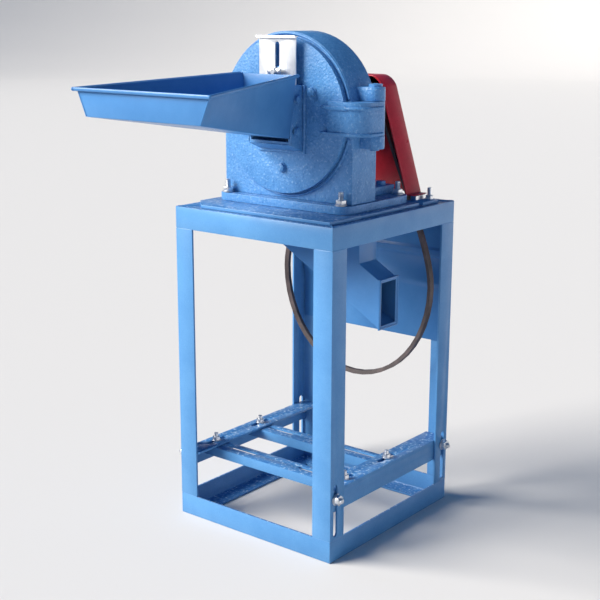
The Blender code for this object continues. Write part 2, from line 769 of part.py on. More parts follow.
def guard_shell(bm, inset, start, end):
    """Trapezium hood with round upper corners, moved inwards by the inset."""
    (top_x, top_z), (foot_x, foot_z) = GUARD_TOP, GUARD_FOOT
    slope = (foot_x - top_x) / (top_z - foot_z)
    low, high = foot_z - inset, top_z - inset
    side = inset * math.hypot(1, slope)
    low_x = foot_x + slope * (foot_z - low) - side
    high_x = top_x + slope * inset - side
    prism(bm, [(low_x, low), (high_x, high), (-high_x, high), (-low_x, low)], "Y",
          start, end)
    corners = [edge for edge in bm.edges
               if all(vert.co.z > high - 1 for vert in edge.verts)
               and abs(edge.verts[0].co.x - edge.verts[1].co.x) < 1]
    bmesh.ops.bevel(bm, geom=corners, offset=24 - inset, segments=6, affect="EDGES",
                    profile=0.5, clamp_overlap=True)


def make_belt_guard():
    """Open hood of folded sheet with a back wall and a foot turned out on each side."""
    bm = bmesh.new()
    guard_shell(bm, 0, *GUARD_Y)
    guard = add_part("belt_guard", bm, "red_paint")
    cutter = bmesh.new()
    guard_shell(cutter, SHEET, GUARD_Y[0] - 5, GUARD_Y[1] - SHEET)
    cut(guard, cutter)
    feet = bmesh.new()
    foot_x, foot_z = GUARD_FOOT
    for side in (-1, 1):
        x = sorted((side * (foot_x - 1), side * (foot_x + 15)))
        block(feet, x, (GUARD_Y[0] + 4, GUARD_Y[1] - 4), (foot_z, foot_z + SHEET))
    join(guard, feet)


def make_guard_bracket():
    """Flat foot frame that the belt passes through, with a block under each guard foot."""
    bm = bmesh.new()
    frame_prism(bm, rectangle((-168, 168), (100, 152)), rectangle((-130, 130), (108, 144)),
                "Z", STAND_HEIGHT + GAP, SEAT_TOP)
    bracket = add_part("guard_bracket", bm, "blue_paint")
    lugs = bmesh.new()
    for side in (-1, 1):
        x = sorted((side * (GUARD_FOOT[0] + 3), side * (GUARD_FOOT[0] + 15)))
        block(lugs, x, (110, 142), (SEAT_TOP - 2, GUARD_FOOT[1] - GAP))
    join(bracket, lugs)
    bolts = bmesh.new()
    for point in GUARD_BOLTS:
        fastener(bolts, point, "Z", [
            ("hex", M8[1], SEAT_TOP - 2), ("hex", M8[1], SEAT_TOP + 8),
            ("round", M8[0], SEAT_TOP + 8), ("round", M8[0], SEAT_TOP + 22)])
    join(bracket, bolts)


# ---- outlet -------------------------------------------------------------------------

def make_outlet():
    bm = bmesh.new()
    prism(bm, CHUTE_OUTLINE, "Y", *CHUTE_Y)
    chute = add_part("outlet_chute", bm, "blue_paint")
    cutter = bmesh.new()
    hollow = inset_outline(CHUTE_OUTLINE, [-6, SHEET, SHEET, -6, SHEET])
    prism(cutter, hollow, "Y", CHUTE_Y[0] + SHEET, CHUTE_Y[1] - SHEET)
    cut(chute, cutter)

    mouth_x = CHUTE_OUTLINE[3][0]
    top, bottom = CHUTE_OUTLINE[3][1], CHUTE_OUTLINE[4][1]
    bm = bmesh.new()
    frame_prism(bm, rectangle((CHUTE_Y[0] - 3, CHUTE_Y[1] + 3), (bottom - 3, top + 3)),
                rectangle((CHUTE_Y[0] + 4, CHUTE_Y[1] - 4), (bottom + 4, top - 4)),
                "X", mouth_x - 1, mouth_x + 2)
    join(chute, bm)

    low_x = (CHUTE_OUTLINE[0][0], CHUTE_OUTLINE[1][0])
    high_x = (-OUTLET_HALF_W - 6, OUTLET_HALF_W + 6)
    high_y = (OUTLET_Y[0] - 6, OUTLET_Y[1] + 6)

    def loop(x, y, z, wall):
        points = rectangle((x[0] + wall, x[1] - wall), (y[0] + wall, y[1] - wall))
        return [(a, b, z) for a, b in points]

    low_z, high_z = CHUTE_TOP_Z + GAP, BED_BOTTOM - GAP
    bm = bmesh.new()
    tube(bm, [loop(low_x, CHUTE_Y, low_z, 0), loop(high_x, high_y, high_z, 0)],
         [loop(low_x, CHUTE_Y, low_z, SHEET), loop(high_x, high_y, high_z, SHEET)])
    add_part("outlet_collar", bm, "blue_paint")


# ---- door ---------------------------------------------------------------------------

def feed_hole(bm, front, back):
    block(bm, (-FEED_HALF_W, FEED_HALF_W), (front, back), FEED_Z)


def make_door():
    front, back = DOOR_Y
    bm = bmesh.new()
    rod(bm, (0, AXIS_Z), "Y", DOOR_R, front, back, 48)
    door = add_part("door", bm, "blue_paint", DOOR_PIVOT)

    hinge_x, hinge_y = HINGE
    bend = KNUCKLE_R * 2
    strap = ([(STRAP_START, back), (STRAP_START, STRAP_FRONT)]
             + arc((hinge_x - KNUCKLE_R, STRAP_FRONT + bend), bend, -90, 0, 6)
             + arc(HINGE, KNUCKLE_R, 0, 180, 12)
             + [(hinge_x - KNUCKLE_R, back)])
    lug = bmesh.new()
    prism(lug, strap, "Z", *DOOR_KNUCKLE_Z)
    join(door, lug)

    extras = bmesh.new()
    low, high = DOOR_KNUCKLE_Z
    for start in STRAP_RIBS_Z:
        block(extras, (STRAP_START - 8, hinge_x - KNUCKLE_R), (STRAP_FRONT - 3, back - 3),
              (start, start + 6))
    rod(extras, (0, GATE_SCREW_Z), "Y", 9, NECK_SEAT - GAP + 0.2, back - 3, 16)
    block(extras, (LATCH[0] - 12, -110), (front, back - 0.5), (LATCH_Z - 15, LATCH_Z + 15))
    join(door, extras)

    holes = bmesh.new()
    feed_hole(holes, front - 5, back + 5)
    rod(holes, HINGE, "Z", HINGE_PIN_R + GAP, low - 5, high + 5, 16)
    rod(holes, (0, GATE_SCREW_Z), "Y", 3.8, NECK_SEAT - 5, back + 5)
    for point in DOOR_BOLTS:
        rod(holes, point, "Y", M8[0] + GAP, front - 5, back + 5)
    block(holes, (LATCH[0] - 20, LATCH[0] + LATCH_ROD_R + 2), (front - 5, back + 5),
          (LATCH_Z - LATCH_ROD_R - 1, LATCH_Z + LATCH_ROD_R + 1))
    cut(door, holes)


def make_fixed_disc():
    """Disc inside the door with its three bolts through it and two rings of pins."""
    bm = bmesh.new()
    rod(bm, (0, AXIS_Z), "Y", FIXED_DISC_R, *FIXED_DISC_Y, 36)
    disc = add_part("fixed_disc", bm, "dark_steel", DOOR_PIVOT)
    cutter = bmesh.new()
    feed_hole(cutter, FIXED_DISC_Y[0] - 5, FIXED_DISC_Y[1] + 5)
    cut(disc, cutter)
    front, back = DOOR_Y[0], FIXED_DISC_Y[0] + 2
    pins = bmesh.new()
    for point in DOOR_BOLTS:
        fastener(pins, point, "Y", headed(M8, front - 5.5, front - GAP, back))
    for (count, ring), turn in zip(FIXED_PIN_RINGS, (15, 0)):
        for point in circle((0, AXIS_Z), ring, count, turn):
            rod(pins, point, "Y", PIN_R, FIXED_DISC_Y[1] - 2, FIXED_PIN_TIP_Y, 8)
    join(disc, pins)


def make_inlet_neck():
    """Cast box on the door with a slot in its roof for the slide gate."""
    front, back = NECK_FRONT, DOOR_Y[0] - GAP
    low, high = NECK_Z
    bm = bmesh.new()
    side = [(back, NECK_FOOT_Z), (back, high), (front, high), (front, low)]
    prism(bm, side, "X", -NECK_HALF_W, NECK_HALF_W)
    neck = add_part("inlet_neck", bm, "blue_paint", DOOR_PIVOT)
    cutter = bmesh.new()
    inner = NECK_HALF_W - NECK_WALL
    block(cutter, (-inner, inner), (front - 5, NECK_SEAT), (low + NECK_WALL, high - NECK_WALL))
    cut(neck, cutter)
    cutter = bmesh.new()
    block(cutter, (-inner, inner), (GATE_Y[0] - 0.5, NECK_SEAT), (high - 10, high + 5))
    block(cutter, (-FEED_HALF_W, FEED_HALF_W), (NECK_SEAT - 2, back + 5), FEED_Z)
    for side, z in hopper_bolt_spots():
        rod(cutter, (HOPPER_BOLT_Y, z), "X", M8[0] + GAP,
            *sorted((side * (inner - 5), side * (NECK_HALF_W + 5))))
    cut(neck, cutter)


def hopper_bolt_spots():
    return [(side, z) for side in (-1, 1) for z in HOPPER_BOLT_Z]


def make_hopper():
    """Feed tray that narrows and slopes to the neck, with ears inside the neck."""
    front, back = HOPPER_FRONT, NECK_FRONT - GAP
    wall = HOPPER_WALL
    outer_front = [(-125, 781), (125, 781), (144, 825), (-144, 825)]
    outer_back = [(-46, 733), (46, 733), (60, 841), (-60, 841)]

    def tray_loop(corners, y, inset, raise_top):
        (a, b), (c, d), (e, f), (g, h) = corners
        points = [(a + inset, b + inset), (c - inset, d + inset),
                  (e - inset, f + raise_top), (g + inset, h + raise_top)]
        return [(x, y, z) for x, z in points]

    bm = bmesh.new()
    loops = [[bm.verts.new(p) for p in tray_loop(outer_front, front, 0, 0)],
             [bm.verts.new(p) for p in tray_loop(outer_back, back, 0, 0)]]
    bridge(bm, *loops)
    hopper = add_part("hopper", bm, "blue_paint", DOOR_PIVOT)
    cutter = bmesh.new()
    loops = [[cutter.verts.new(p) for p in tray_loop(outer_front, front + wall, wall, 20)],
             [cutter.verts.new(p) for p in tray_loop(outer_back, back - wall, wall, 20)]]
    bridge(cutter, *loops)
    cut(hopper, cutter)
    opening = bmesh.new()
    half = NECK_HALF_W - NECK_WALL - GAP
    low, high = NECK_Z[0] + NECK_WALL + 9, NECK_Z[1] - NECK_WALL - GAP
    block(opening, (wall - half, half - wall), (back - 10, back + 10), (low, high))
    cut(hopper, opening)
    ears = bmesh.new()
    for side in (-1, 1):
        inner, outer = sorted((side * (half - wall), side * half))
        block(ears, (inner, outer), (back - 1, HOPPER_BOLT_Y + 9), (low, high))
    join(hopper, ears)
    bolts = bmesh.new()
    for side, z in hopper_bolt_spots():
        head, seat = (side * (NECK_HALF_W + reach) for reach in (5.5, GAP))
        fastener(bolts, (HOPPER_BOLT_Y, z), "X", headed(M8, head, seat, side * (half - 1)))
    join(hopper, bolts)
    rim = bmesh.new()
    for side in (-1, 1):
        ends = []
        for (x, z), y in ((outer_front[2], front), (outer_back[2], back)):
            x = side * x
            inner, outer = x - side * wall, x + side * 8
            ends.append([(inner, y, z - 3), (outer, y, z - 3), (outer, y, z + 1),
                         (inner, y, z + 1)])
        bridge(rim, *[[rim.verts.new(p) for p in end] for end in ends])
    join(hopper, rim)
    half_front = outer_front[2][0] + 8
    front_rim = bmesh.new()
    block(front_rim, (-half_front, half_front), (front - 8, front + wall),
          (outer_front[2][1] - 3, outer_front[2][1] + 1))
    join(hopper, front_rim)


def bridge(bm, near, far):
    """Close a bar between two loops of corners."""
    count = len(near)
    for i in range(count):
        j = (i + 1) % count
        bm.faces.new((near[i], far[i], far[j], near[j]))
    bm.faces.new(near)
    bm.faces.new(reversed(far))


def make_gate():
    """Slide gate with a lip to pull it by, and the wing screw that clamps it."""
    front, back = GATE_Y
    bottom, top = GATE_Z
    bm = bmesh.new()
    side = [(back, bottom), (back, top), (front - 4, top), (front - 4, top - 2),
            (front, top - 2), (front, bottom)]
    prism(bm, side, "X", -GATE_HALF_W, GATE_HALF_W)
    gate = add_part("slide_gate", bm, "zinc", DOOR_PIVOT)
    cutter = bmesh.new()
    length = GATE_TRAVEL + 2 * GATE_SLOT_R
    middle = GATE_SCREW_Z + GATE_TRAVEL / 2
    prism(cutter, slot((0, middle), length, 2 * GATE_SLOT_R, 90), "Y", front - 5, back + 5)
    cut(gate, cutter)

    screw = bmesh.new()
    seat = front - GAP
    centre = (0, GATE_SCREW_Z)
    shaft_rings(screw, [(7.5, seat - 6), (7.5, seat), (3.4, seat), (3.4, DOOR_Y[1] - 1)],
                centre, "Y", 16)
    wing = add_part("gate_screw", screw, "zinc", (0, seat, GATE_SCREW_Z))
    wings = bmesh.new()
    block(wings, (-15, 15), (seat - 14, seat - 4), (GATE_SCREW_Z - 1.5, GATE_SCREW_Z + 1.5))
    join(wing, wings)


def make_hinge_pin():
    bm = bmesh.new()
    low, high = CASING_KNUCKLES_Z[0][0], CASING_KNUCKLES_Z[1][1]
    shaft_rings(bm, [(HINGE_PIN_R, low - 3), (HINGE_PIN_R, high + GAP), (12, high + GAP),
                     (12, high + 5)], HINGE, "Z", 16)
    add_part("hinge_pin", bm, "dark_steel")


def make_latch():
    """Eye bolt parked beside the casing; it swings forward into the door's slot."""
    pivot = (*LATCH, LATCH_Z)
    turn = math.radians(LATCH_PARKED)
    way = Vector((math.sin(turn), -math.cos(turn), 0))

    def along(bm):
        """Turn a bolt drawn forwards, along -Y from the pivot, to its parked place."""
        bmesh.ops.rotate(bm, verts=bm.verts, cent=Vector(pivot),
                         matrix=Matrix.Rotation(turn, 3, "Z"))
        return bm

    x, y = LATCH
    eye = bmesh.new()
    rod(eye, LATCH, "Z", 11, LATCH_Z - 7, LATCH_Z + 7, 20)
    bolt_obj = add_part("latch_bolt", eye, "zinc", pivot)
    stem = bmesh.new()
    rod(stem, (x, LATCH_Z), "Y", LATCH_ROD_R, y - LATCH_REACH, y - 5, 12)
    join(bolt_obj, along(stem))
    hole = bmesh.new()
    rod(hole, LATCH, "Z", 5 + GAP, LATCH_Z - 10, LATCH_Z + 10, 12)
    cut(bolt_obj, hole)

    hand_nut = bmesh.new()
    start = y - LATCH_NUT_START
    turned(hand_nut, [(LATCH_ROD_R + GAP, start), (11, start), (11, start - 5),
                      (15, start - 7), (15, start - 13), (LATCH_ROD_R + GAP, start - 13)],
           (x, LATCH_Z), "Y", 24)
    nut_pivot = Vector(pivot) + way * (LATCH_NUT_START + 6)
    add_part("latch_nut", along(hand_nut), "dark_steel", tuple(nut_pivot))


# ---- motor frame --------------------------------------------------------------------

def make_motor_rails():
    """Side rails clamped in the legs' slots, with long holes for the cross rails."""
    x, y = MOTOR_RAIL_HALF_X, MOTOR_RAIL_HALF_Y
    top, wall = MOTOR_RAIL_TOP, ANGLE_WALL
    for side, name in ((-1, "left"), (1, "right")):
        outline = [(side * x, top), (side * (x - ANGLE), top),
                   (side * (x - ANGLE), top - wall), (side * (x - wall), top - wall),
                   (side * (x - wall), top - ANGLE), (side * x, top - ANGLE)]
        bm = bmesh.new()
        prism(bm, outline, "Y", -y, y)
        rail = add_part(f"motor_rail_{name}", bm, "blue_paint", MOTOR_PIVOT)
        cutter = bmesh.new()
        for front in CROSS_RAIL_FRONTS.values():
            prism(cutter, slot((side * CROSS_BOLT_X, front + CROSS_BOLT_SETBACK),
                               SLOT_LENGTH, SLOT_WIDTH, 90), "Z", top - 8, top + 5)
        for end in (-1, 1):
            rod(cutter, (end * LEG_SLOT_Y, MOTOR_BOLT_Z), "X", M10[0] + GAP,
                *sorted((side * (x - 10), side * (x + 5))))
        cut(rail, cutter)
    inner = x - wall - GAP
    corners = [(side, end) for side in (-1, 1) for end in (-1, 1)]
    for number, (side, end) in enumerate(corners, 1):
        bm = bmesh.new()
        places = (inner - 6.4, inner, HALF_W + GAP, HALF_W + 10.5, HALF_W + 16)
        fastener(bm, (end * LEG_SLOT_Y, MOTOR_BOLT_Z), "X",
                 clamped(M10, *[side * place for place in places]))
        add_part(f"motor_rail_bolt_{number}", bm, "zinc", MOTOR_PIVOT)


def make_cross_rails():
    """Rails that carry the motor's feet, clamped under the side rails."""
    top, wall = MOTOR_RAIL_TOP - ANGLE_WALL - GAP, ANGLE_WALL
    reach = MOTOR_RAIL_HALF_X - wall - GAP
    for name, front in CROSS_RAIL_FRONTS.items():
        outline = [(front, top), (front + ANGLE, top), (front + ANGLE, top - wall),
                   (front + wall, top - wall), (front + wall, top - CROSS_RAIL_DROP),
                   (front, top - CROSS_RAIL_DROP)]
        bm = bmesh.new()
        prism(bm, outline, "X", -reach, reach)
        rail = add_part(f"cross_rail_{name}", bm, "blue_paint", MOTOR_PIVOT)
        line = front + CROSS_BOLT_SETBACK
        cutter = bmesh.new()
        under_side_rail = MOTOR_RAIL_HALF_X - ANGLE - 1
        for side in (-1, 1):
            prism(cutter, slot((side * MOTOR_SLOT_X, line), MOTOR_SLOT_LENGTH, SLOT_WIDTH),
                  "Z", top - 8, top + 5)
            x = sorted((side * under_side_rail, side * (reach + 5)))
            block(cutter, x, (front - 5, front + ANGLE + 5), (top - GAP, top + 5))
        cut(rail, cutter)
        bolts = bmesh.new()
        for side in (-1, 1):
            spot = (side * CROSS_BOLT_X, line)
            seat = MOTOR_RAIL_TOP + GAP
            fastener(bolts, spot, "Z", clamped(M8, top - wall - 5, top - 2, seat,
                                               seat + 8, seat + 15))
        join(rail, bolts)


clear_scene()
MADE = make_materials()
make_legs()
make_rail_frames()
make_seat_plates()
make_rear_panel()
make_bed()
make_casing()
make_sieve()
make_bearing_housing()
make_bearings()
make_bearing_caps()
make_bed_bolts()
make_shaft()
make_rotor_disc()
make_hammer_ring()
make_shaft_nuts()
make_pulley()
make_belt()
make_belt_guard()
make_guard_bracket()
make_outlet()
make_door()
make_fixed_disc()
make_inlet_neck()
make_hopper()
make_gate()
make_hinge_pin()
make_latch()
make_motor_rails()
make_cross_rails()
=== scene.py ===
import math

import bpy
from mathutils import Matrix, Vector


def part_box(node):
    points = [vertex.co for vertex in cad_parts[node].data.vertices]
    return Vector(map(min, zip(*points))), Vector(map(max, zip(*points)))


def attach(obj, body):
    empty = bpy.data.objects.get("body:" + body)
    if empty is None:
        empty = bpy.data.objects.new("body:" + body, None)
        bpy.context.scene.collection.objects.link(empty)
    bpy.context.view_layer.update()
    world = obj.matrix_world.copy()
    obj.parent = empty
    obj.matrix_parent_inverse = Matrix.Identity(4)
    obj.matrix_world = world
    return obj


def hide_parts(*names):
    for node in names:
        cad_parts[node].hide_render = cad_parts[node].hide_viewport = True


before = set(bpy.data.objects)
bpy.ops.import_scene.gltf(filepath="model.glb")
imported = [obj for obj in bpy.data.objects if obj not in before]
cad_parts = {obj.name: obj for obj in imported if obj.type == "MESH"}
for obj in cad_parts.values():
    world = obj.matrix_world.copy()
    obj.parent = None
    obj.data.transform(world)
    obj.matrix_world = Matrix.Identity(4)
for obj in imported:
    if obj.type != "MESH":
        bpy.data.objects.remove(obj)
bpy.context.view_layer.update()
mm = 0.001
# from the mill's own zero, under the casing's axis, to the frame's
shift = Vector((0, 130.5, 0))


def at(x, y, z):
    return (Vector((x, y, z)) + shift) * mm


def deselectAll():
    if bpy.context.object and bpy.context.object.mode != "OBJECT":
        bpy.ops.object.mode_set(mode="OBJECT")
    bpy.ops.object.select_all(action="DESELECT")


def activate(piece):
    deselectAll()
    piece.select_set(True)
    bpy.context.view_layer.objects.active = piece


def editAll(piece):
    activate(piece)
    bpy.ops.object.mode_set(mode="EDIT")
    bpy.ops.mesh.select_all(action="SELECT")


def editWhere(piece, kind, test):
    # edit mode with the faces, edges or vertices for which test(item) holds selected
    editAll(piece)
    bpy.ops.mesh.select_mode(type=kind)
    bpy.ops.mesh.select_all(action="DESELECT")
    bpy.ops.object.mode_set(mode="OBJECT")
    mesh = piece.data
    for item in {"FACE": mesh.polygons, "EDGE": mesh.edges, "VERT": mesh.vertices}[kind]:
        item.select = bool(test(item))
    bpy.ops.object.mode_set(mode="EDIT")


def endEdit():
    bpy.ops.object.mode_set(mode="OBJECT")


def settle(piece):
    # object at the origin, unturned and unscaled
    activate(piece)
    bpy.ops.object.transform_apply(location=True, rotation=True, scale=True)


def roundEdges(piece, width, segments=2, angle=32):
    activate(piece)
    bevel = piece.modifiers.new("round", "BEVEL")
    bevel.width = width * mm
    bevel.segments = segments
    bevel.limit_method = "ANGLE"
    bevel.angle_limit = math.radians(angle)
    bevel.harden_normals = False
    bpy.ops.object.modifier_apply(modifier="round")


def smooth(piece, angle=38):
    activate(piece)
    bpy.ops.object.shade_smooth_by_angle(angle=math.radians(angle))


def finishPiece(piece, body, finish, smoothAngle=38):
    piece.data.materials.clear()
    piece.data.materials.append(finish)
    smooth(piece, smoothAngle)
    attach(piece, body)


def copyOf(node, flatten=True):
    # a merged copy of a CAD piece, to be refined and shown in its place
    piece = bpy.data.objects.new(node + "Shape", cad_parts[node].data.copy())
    bpy.context.scene.collection.objects.link(piece)
    editAll(piece)
    bpy.ops.mesh.remove_doubles(threshold=0.00002)
    if flatten:
        bpy.ops.mesh.dissolve_limited(angle_limit=math.radians(0.6))
    endEdit()
    activate(piece)
    bpy.ops.mesh.customdata_custom_splitnormals_clear()
    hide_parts(node)
    return piece


def plate(name, outline, axis, start, end):
    # a flat outline pushed along an axis; outline in the axis's own pair of directions
    bpy.ops.object.select_all(action="DESELECT")
    bpy.ops.mesh.primitive_circle_add(vertices=len(outline), radius=0.01, fill_type="NGON")
    piece = bpy.context.object
    piece.name = name
    for vert, (a, b) in zip(piece.data.vertices, outline):
        vert.co = at(*{"X": (start, a, b), "Y": (a, start, b), "Z": (a, b, start)}[axis])
    way = Vector({"X": (1, 0, 0), "Y": (0, 1, 0), "Z": (0, 0, 1)}[axis]) * (end - start) * mm
    editAll(piece)
    bpy.ops.mesh.extrude_region_move(TRANSFORM_OT_translate={"value": way})
    bpy.ops.mesh.select_all(action="SELECT")
    bpy.ops.mesh.normals_make_consistent(inside=False)
    endEdit()
    return piece


def box(name, x, y, z):
    return plate(name, [(x[0], y[0]), (x[1], y[0]), (x[1], y[1]), (x[0], y[1])], "Z", *z)


def turned(name, profile, axis, centre, steps=32):
    # (radius, along) points spun round an axis through the centre
    bpy.ops.object.select_all(action="DESELECT")
    bpy.ops.mesh.primitive_circle_add(vertices=len(profile), radius=0.01, fill_type="NOTHING")
    piece = bpy.context.object
    piece.name = name
    a, b = centre
    for vert, (radius, along) in zip(piece.data.vertices, profile):
        vert.co = at(*{"X": (along, a + radius, b), "Y": (a + radius, along, b),
                       "Z": (a + radius, b, along)}[axis])
    middle = at(*{"X": (0, a, b), "Y": (a, 0, b), "Z": (a, b, 0)}[axis])
    way = {"X": (1, 0, 0), "Y": (0, 1, 0), "Z": (0, 0, 1)}[axis]
    editAll(piece)
    bpy.ops.mesh.spin(steps=steps, angle=math.tau, center=middle, axis=way)
    bpy.ops.mesh.select_all(action="SELECT")
    bpy.ops.mesh.remove_doubles(threshold=0.000005)
    bpy.ops.mesh.dissolve_degenerate(threshold=0.000005)
    bpy.ops.mesh.normals_make_consistent(inside=False)
    endEdit()
    return piece


def cordOf(name, points, radius, closed=False, resolution=3):
    # a round bar along a path of points, as a bead, a rib or a weld
    bpy.ops.object.select_all(action="DESELECT")
    bpy.ops.curve.primitive_nurbs_path_add(radius=0.01)
    line = bpy.context.object
    line.name = name
    curve = line.data
    curve.splines.clear()
    spline = curve.splines.new("POLY")
    spline.points.add(len(points) - 1)
    for point, place in zip(spline.points, points):
        point.co = (*at(*place), 1)
    spline.use_cyclic_u = closed
    curve.bevel_depth = radius * mm
    curve.bevel_resolution = resolution
    curve.use_fill_caps = not closed
    activate(line)
    bpy.ops.object.convert(target="MESH")
    piece = bpy.context.object
    piece.name = name
    editAll(piece)
    bpy.ops.mesh.remove_doubles(threshold=0.000002)
    bpy.ops.mesh.normals_make_consistent(inside=False)
    endEdit()
    return piece


def joined(name, pieces):
    deselectAll()
    for piece in pieces:
        piece.select_set(True)
    bpy.context.view_layer.objects.active = pieces[0]
    bpy.ops.object.join()
    pieces[0].name = name
    return pieces[0]


def span(node):
    # a CAD node's box in the mill's own millimetres
    low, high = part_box(node)
    return low / mm - shift, high / mm - shift


def toLinear(code):
    # sRGB hex to linear light: the curve's straight foot, then its power
    parts = [int(code[i:i + 2], 16) / 255 for i in (1, 3, 5)]
    return (*[p / 12.92 if p <= 0.04045 else ((p + 0.055) / 1.055) ** 2.4 for p in parts], 1)


def addNode(material, kind, values=None, links=None, **fields):
    made = material.node_tree.nodes.new("ShaderNode" + kind)
    for name, value in fields.items():
        setattr(made, name, value)
    for name, value in (values or {}).items():
        made.inputs[name].default_value = value
    for name, source in (links or {}).items():
        material.node_tree.links.new(source, made.inputs[name])
    return made


def perMetre(size):
    return 1000 / size              # pattern scale from its real size in millimetres


def newMaterial(name, shader):
    material = bpy.data.materials.new(name)
    material.use_nodes = True
    surface = material.node_tree.nodes["Principled BSDF"]
    for socket, value in shader.items():
        surface.inputs[socket].default_value = value
    return material, surface


# a Mix node's sockets when it mixes colours, and its result
mixAmount, mixFirst, mixSecond, mixResult = 0, 6, 7, 2
# shared by the enamels: softness of the edge of a painted highlight fleck, and how far roughness
# strays each way
enamel = {"highlightEdge": 0.14, "roughLess": 0.07, "roughMore": 0.08}


def paintOver(name, look):
    # enamel on iron: two tones in soft patches, fine grain in the film, painted highlight on the
    # grain's raised points and painted shade in its hollows
    material, surface = newMaterial(name, {"IOR": 1.5, "Specular IOR Level": 0.3,
                                           "Coat Weight": look["gloss"],
                                           "Coat Roughness": 0.2, "Coat IOR": 1.5})
    tree = material.node_tree
    place = addNode(material, "TexCoord").outputs["Object"]
    patches = addNode(material, "TexNoise", {"Scale": perMetre(look["patch"]), "Detail": 4,
                                             "Roughness": 0.6}, {"Vector": place})
    grain = addNode(material, "TexNoise", {"Scale": perMetre(look["grain"]), "Detail": 3,
                                           "Roughness": 0.55}, {"Vector": place})
    blend = addNode(material, "MapRange", {"From Min": 0.35, "From Max": 0.66,
                                           "To Min": 0, "To Max": 1},
                    {"Value": patches.outputs["Fac"]})
    tone = addNode(material, "Mix", {mixFirst: toLinear(look["tone"]),
                                     mixSecond: toLinear(look["second"])},
                   {mixAmount: blend.outputs[0]}, data_type="RGBA")
    # bright flecks where the grain stands highest: painted highlight
    highlightMask = addNode(material, "MapRange", {"From Min": look["highlightStart"],
                                            "From Max": look["highlightStart"] + enamel["highlightEdge"],
                                            "To Min": 0, "To Max": look["highlightAmount"]},
                     {"Value": grain.outputs["Fac"]})
    highlighted = addNode(material, "Mix", {mixSecond: toLinear(look["highlightFleck"])},
                      {mixAmount: highlightMask.outputs[0], mixFirst: tone.outputs[mixResult]},
                      data_type="RGBA")
    # darker where the grain is lowest: painted shade in the hollows
    hollowShadeMask = addNode(material, "MapRange", {"From Min": 0.44, "From Max": 0.30,
                                            "To Min": 0, "To Max": look["shadeAmount"]},
                     {"Value": grain.outputs["Fac"]})
    shaded = addNode(material, "Mix", {mixSecond: toLinear(look["shade"])},
                     {mixAmount: hollowShadeMask.outputs[0], mixFirst: highlighted.outputs[mixResult]},
                     data_type="RGBA")
    tree.links.new(shaded.outputs[mixResult], surface.inputs["Base Color"])
    rough = addNode(material, "MapRange", {"From Min": 0.3, "From Max": 0.7,
                                           "To Min": look["rough"] - enamel["roughLess"],
                                           "To Max": look["rough"] + enamel["roughMore"]},
                    {"Value": patches.outputs["Fac"]})
    tree.links.new(rough.outputs[0], surface.inputs["Roughness"])
    relief = addNode(material, "Bump", {"Strength": look["reliefStrength"],
                                        "Distance": look["relief"] * mm},
                     {"Height": grain.outputs["Fac"]})
    wide = addNode(material, "Bump", {"Strength": 0.5, "Distance": look["wave"] * mm},
                   {"Height": patches.outputs["Fac"], "Normal": relief.outputs[0]})
    tree.links.new(wide.outputs[0], surface.inputs["Normal"])
    return material


# in each enamel below, the fleck colour is painted highlight on the raised grain and the shade
# colour is painted shade in its hollows
# brushed alkyd enamel over sand-cast iron: a pebbled skin with soft bright specks of painted
# highlight and dark specks of painted shade
castBlue = paintOver("brushedEnamelOnSandCastIron", {
    "tone": "#548EC8", "second": "#4883BE", "highlightFleck": "#A2C8EA", "shade": "#255FA2",
    "patch": 26, "grain": 4.2, "highlightStart": 0.58, "highlightAmount": 0.45, "shadeAmount": 0.5,
    "rough": 0.38, "gloss": 0.12, "relief": 1.5, "reliefStrength": 0.9, "wave": 0.8})
# the same enamel sprayed on hot-rolled angle iron: nearly flat, faint orange peel
rolledBlue = paintOver("sprayedEnamelOnRolledAngle", {
    "tone": "#5790C6", "second": "#4E88C0", "highlightFleck": "#7AAAD8", "shade": "#3F77B2",
    "patch": 48, "grain": 2.6, "highlightStart": 0.60, "highlightAmount": 0.25, "shadeAmount": 0.3,
    "rough": 0.36, "gloss": 0.1, "relief": 0.16, "reliefStrength": 0.4, "wave": 0.5})
# upper faces get a darker tone, which is painted shade, and thick runs whose raised grain carries
# a coarse bright mottle of painted highlight
upperFaceShadeBlue = paintOver("paintedShadeEnamelOnUpperFaces", {
    "tone": "#4C84BC", "second": "#3972AE", "highlightFleck": "#D3E8F8", "shade": "#2860A6",
    "patch": 17, "grain": 5.6, "highlightStart": 0.55, "highlightAmount": 0.6, "shadeAmount": 0.7,
    "rough": 0.36, "gloss": 0.15, "relief": 1.4, "reliefStrength": 0.7, "wave": 0.9})
# enamel on folded steel sheet: smooth, with the sheet's slow waviness
sheetBlue = paintOver("sprayedEnamelOnFoldedSheet", {
    "tone": "#4A84BF", "second": "#407BB7", "highlightFleck": "#6699CE", "shade": "#366FAA",
    "patch": 70, "grain": 2.2, "highlightStart": 0.62, "highlightAmount": 0.2, "shadeAmount": 0.25,
    "rough": 0.33, "gloss": 0.12, "relief": 0.1, "reliefStrength": 0.35, "wave": 1.3})
# red gloss enamel on the guard's sheet
guardRed = paintOver("redEnamelOnFoldedSheet", {
    "tone": "#C22A38", "second": "#B02231", "highlightFleck": "#D6525C", "shade": "#7C1420",
    "patch": 40, "grain": 2.4, "highlightStart": 0.62, "highlightAmount": 0.25, "shadeAmount": 0.35,
    "rough": 0.34, "gloss": 0.12, "relief": 0.14, "reliefStrength": 0.4, "wave": 0.9})


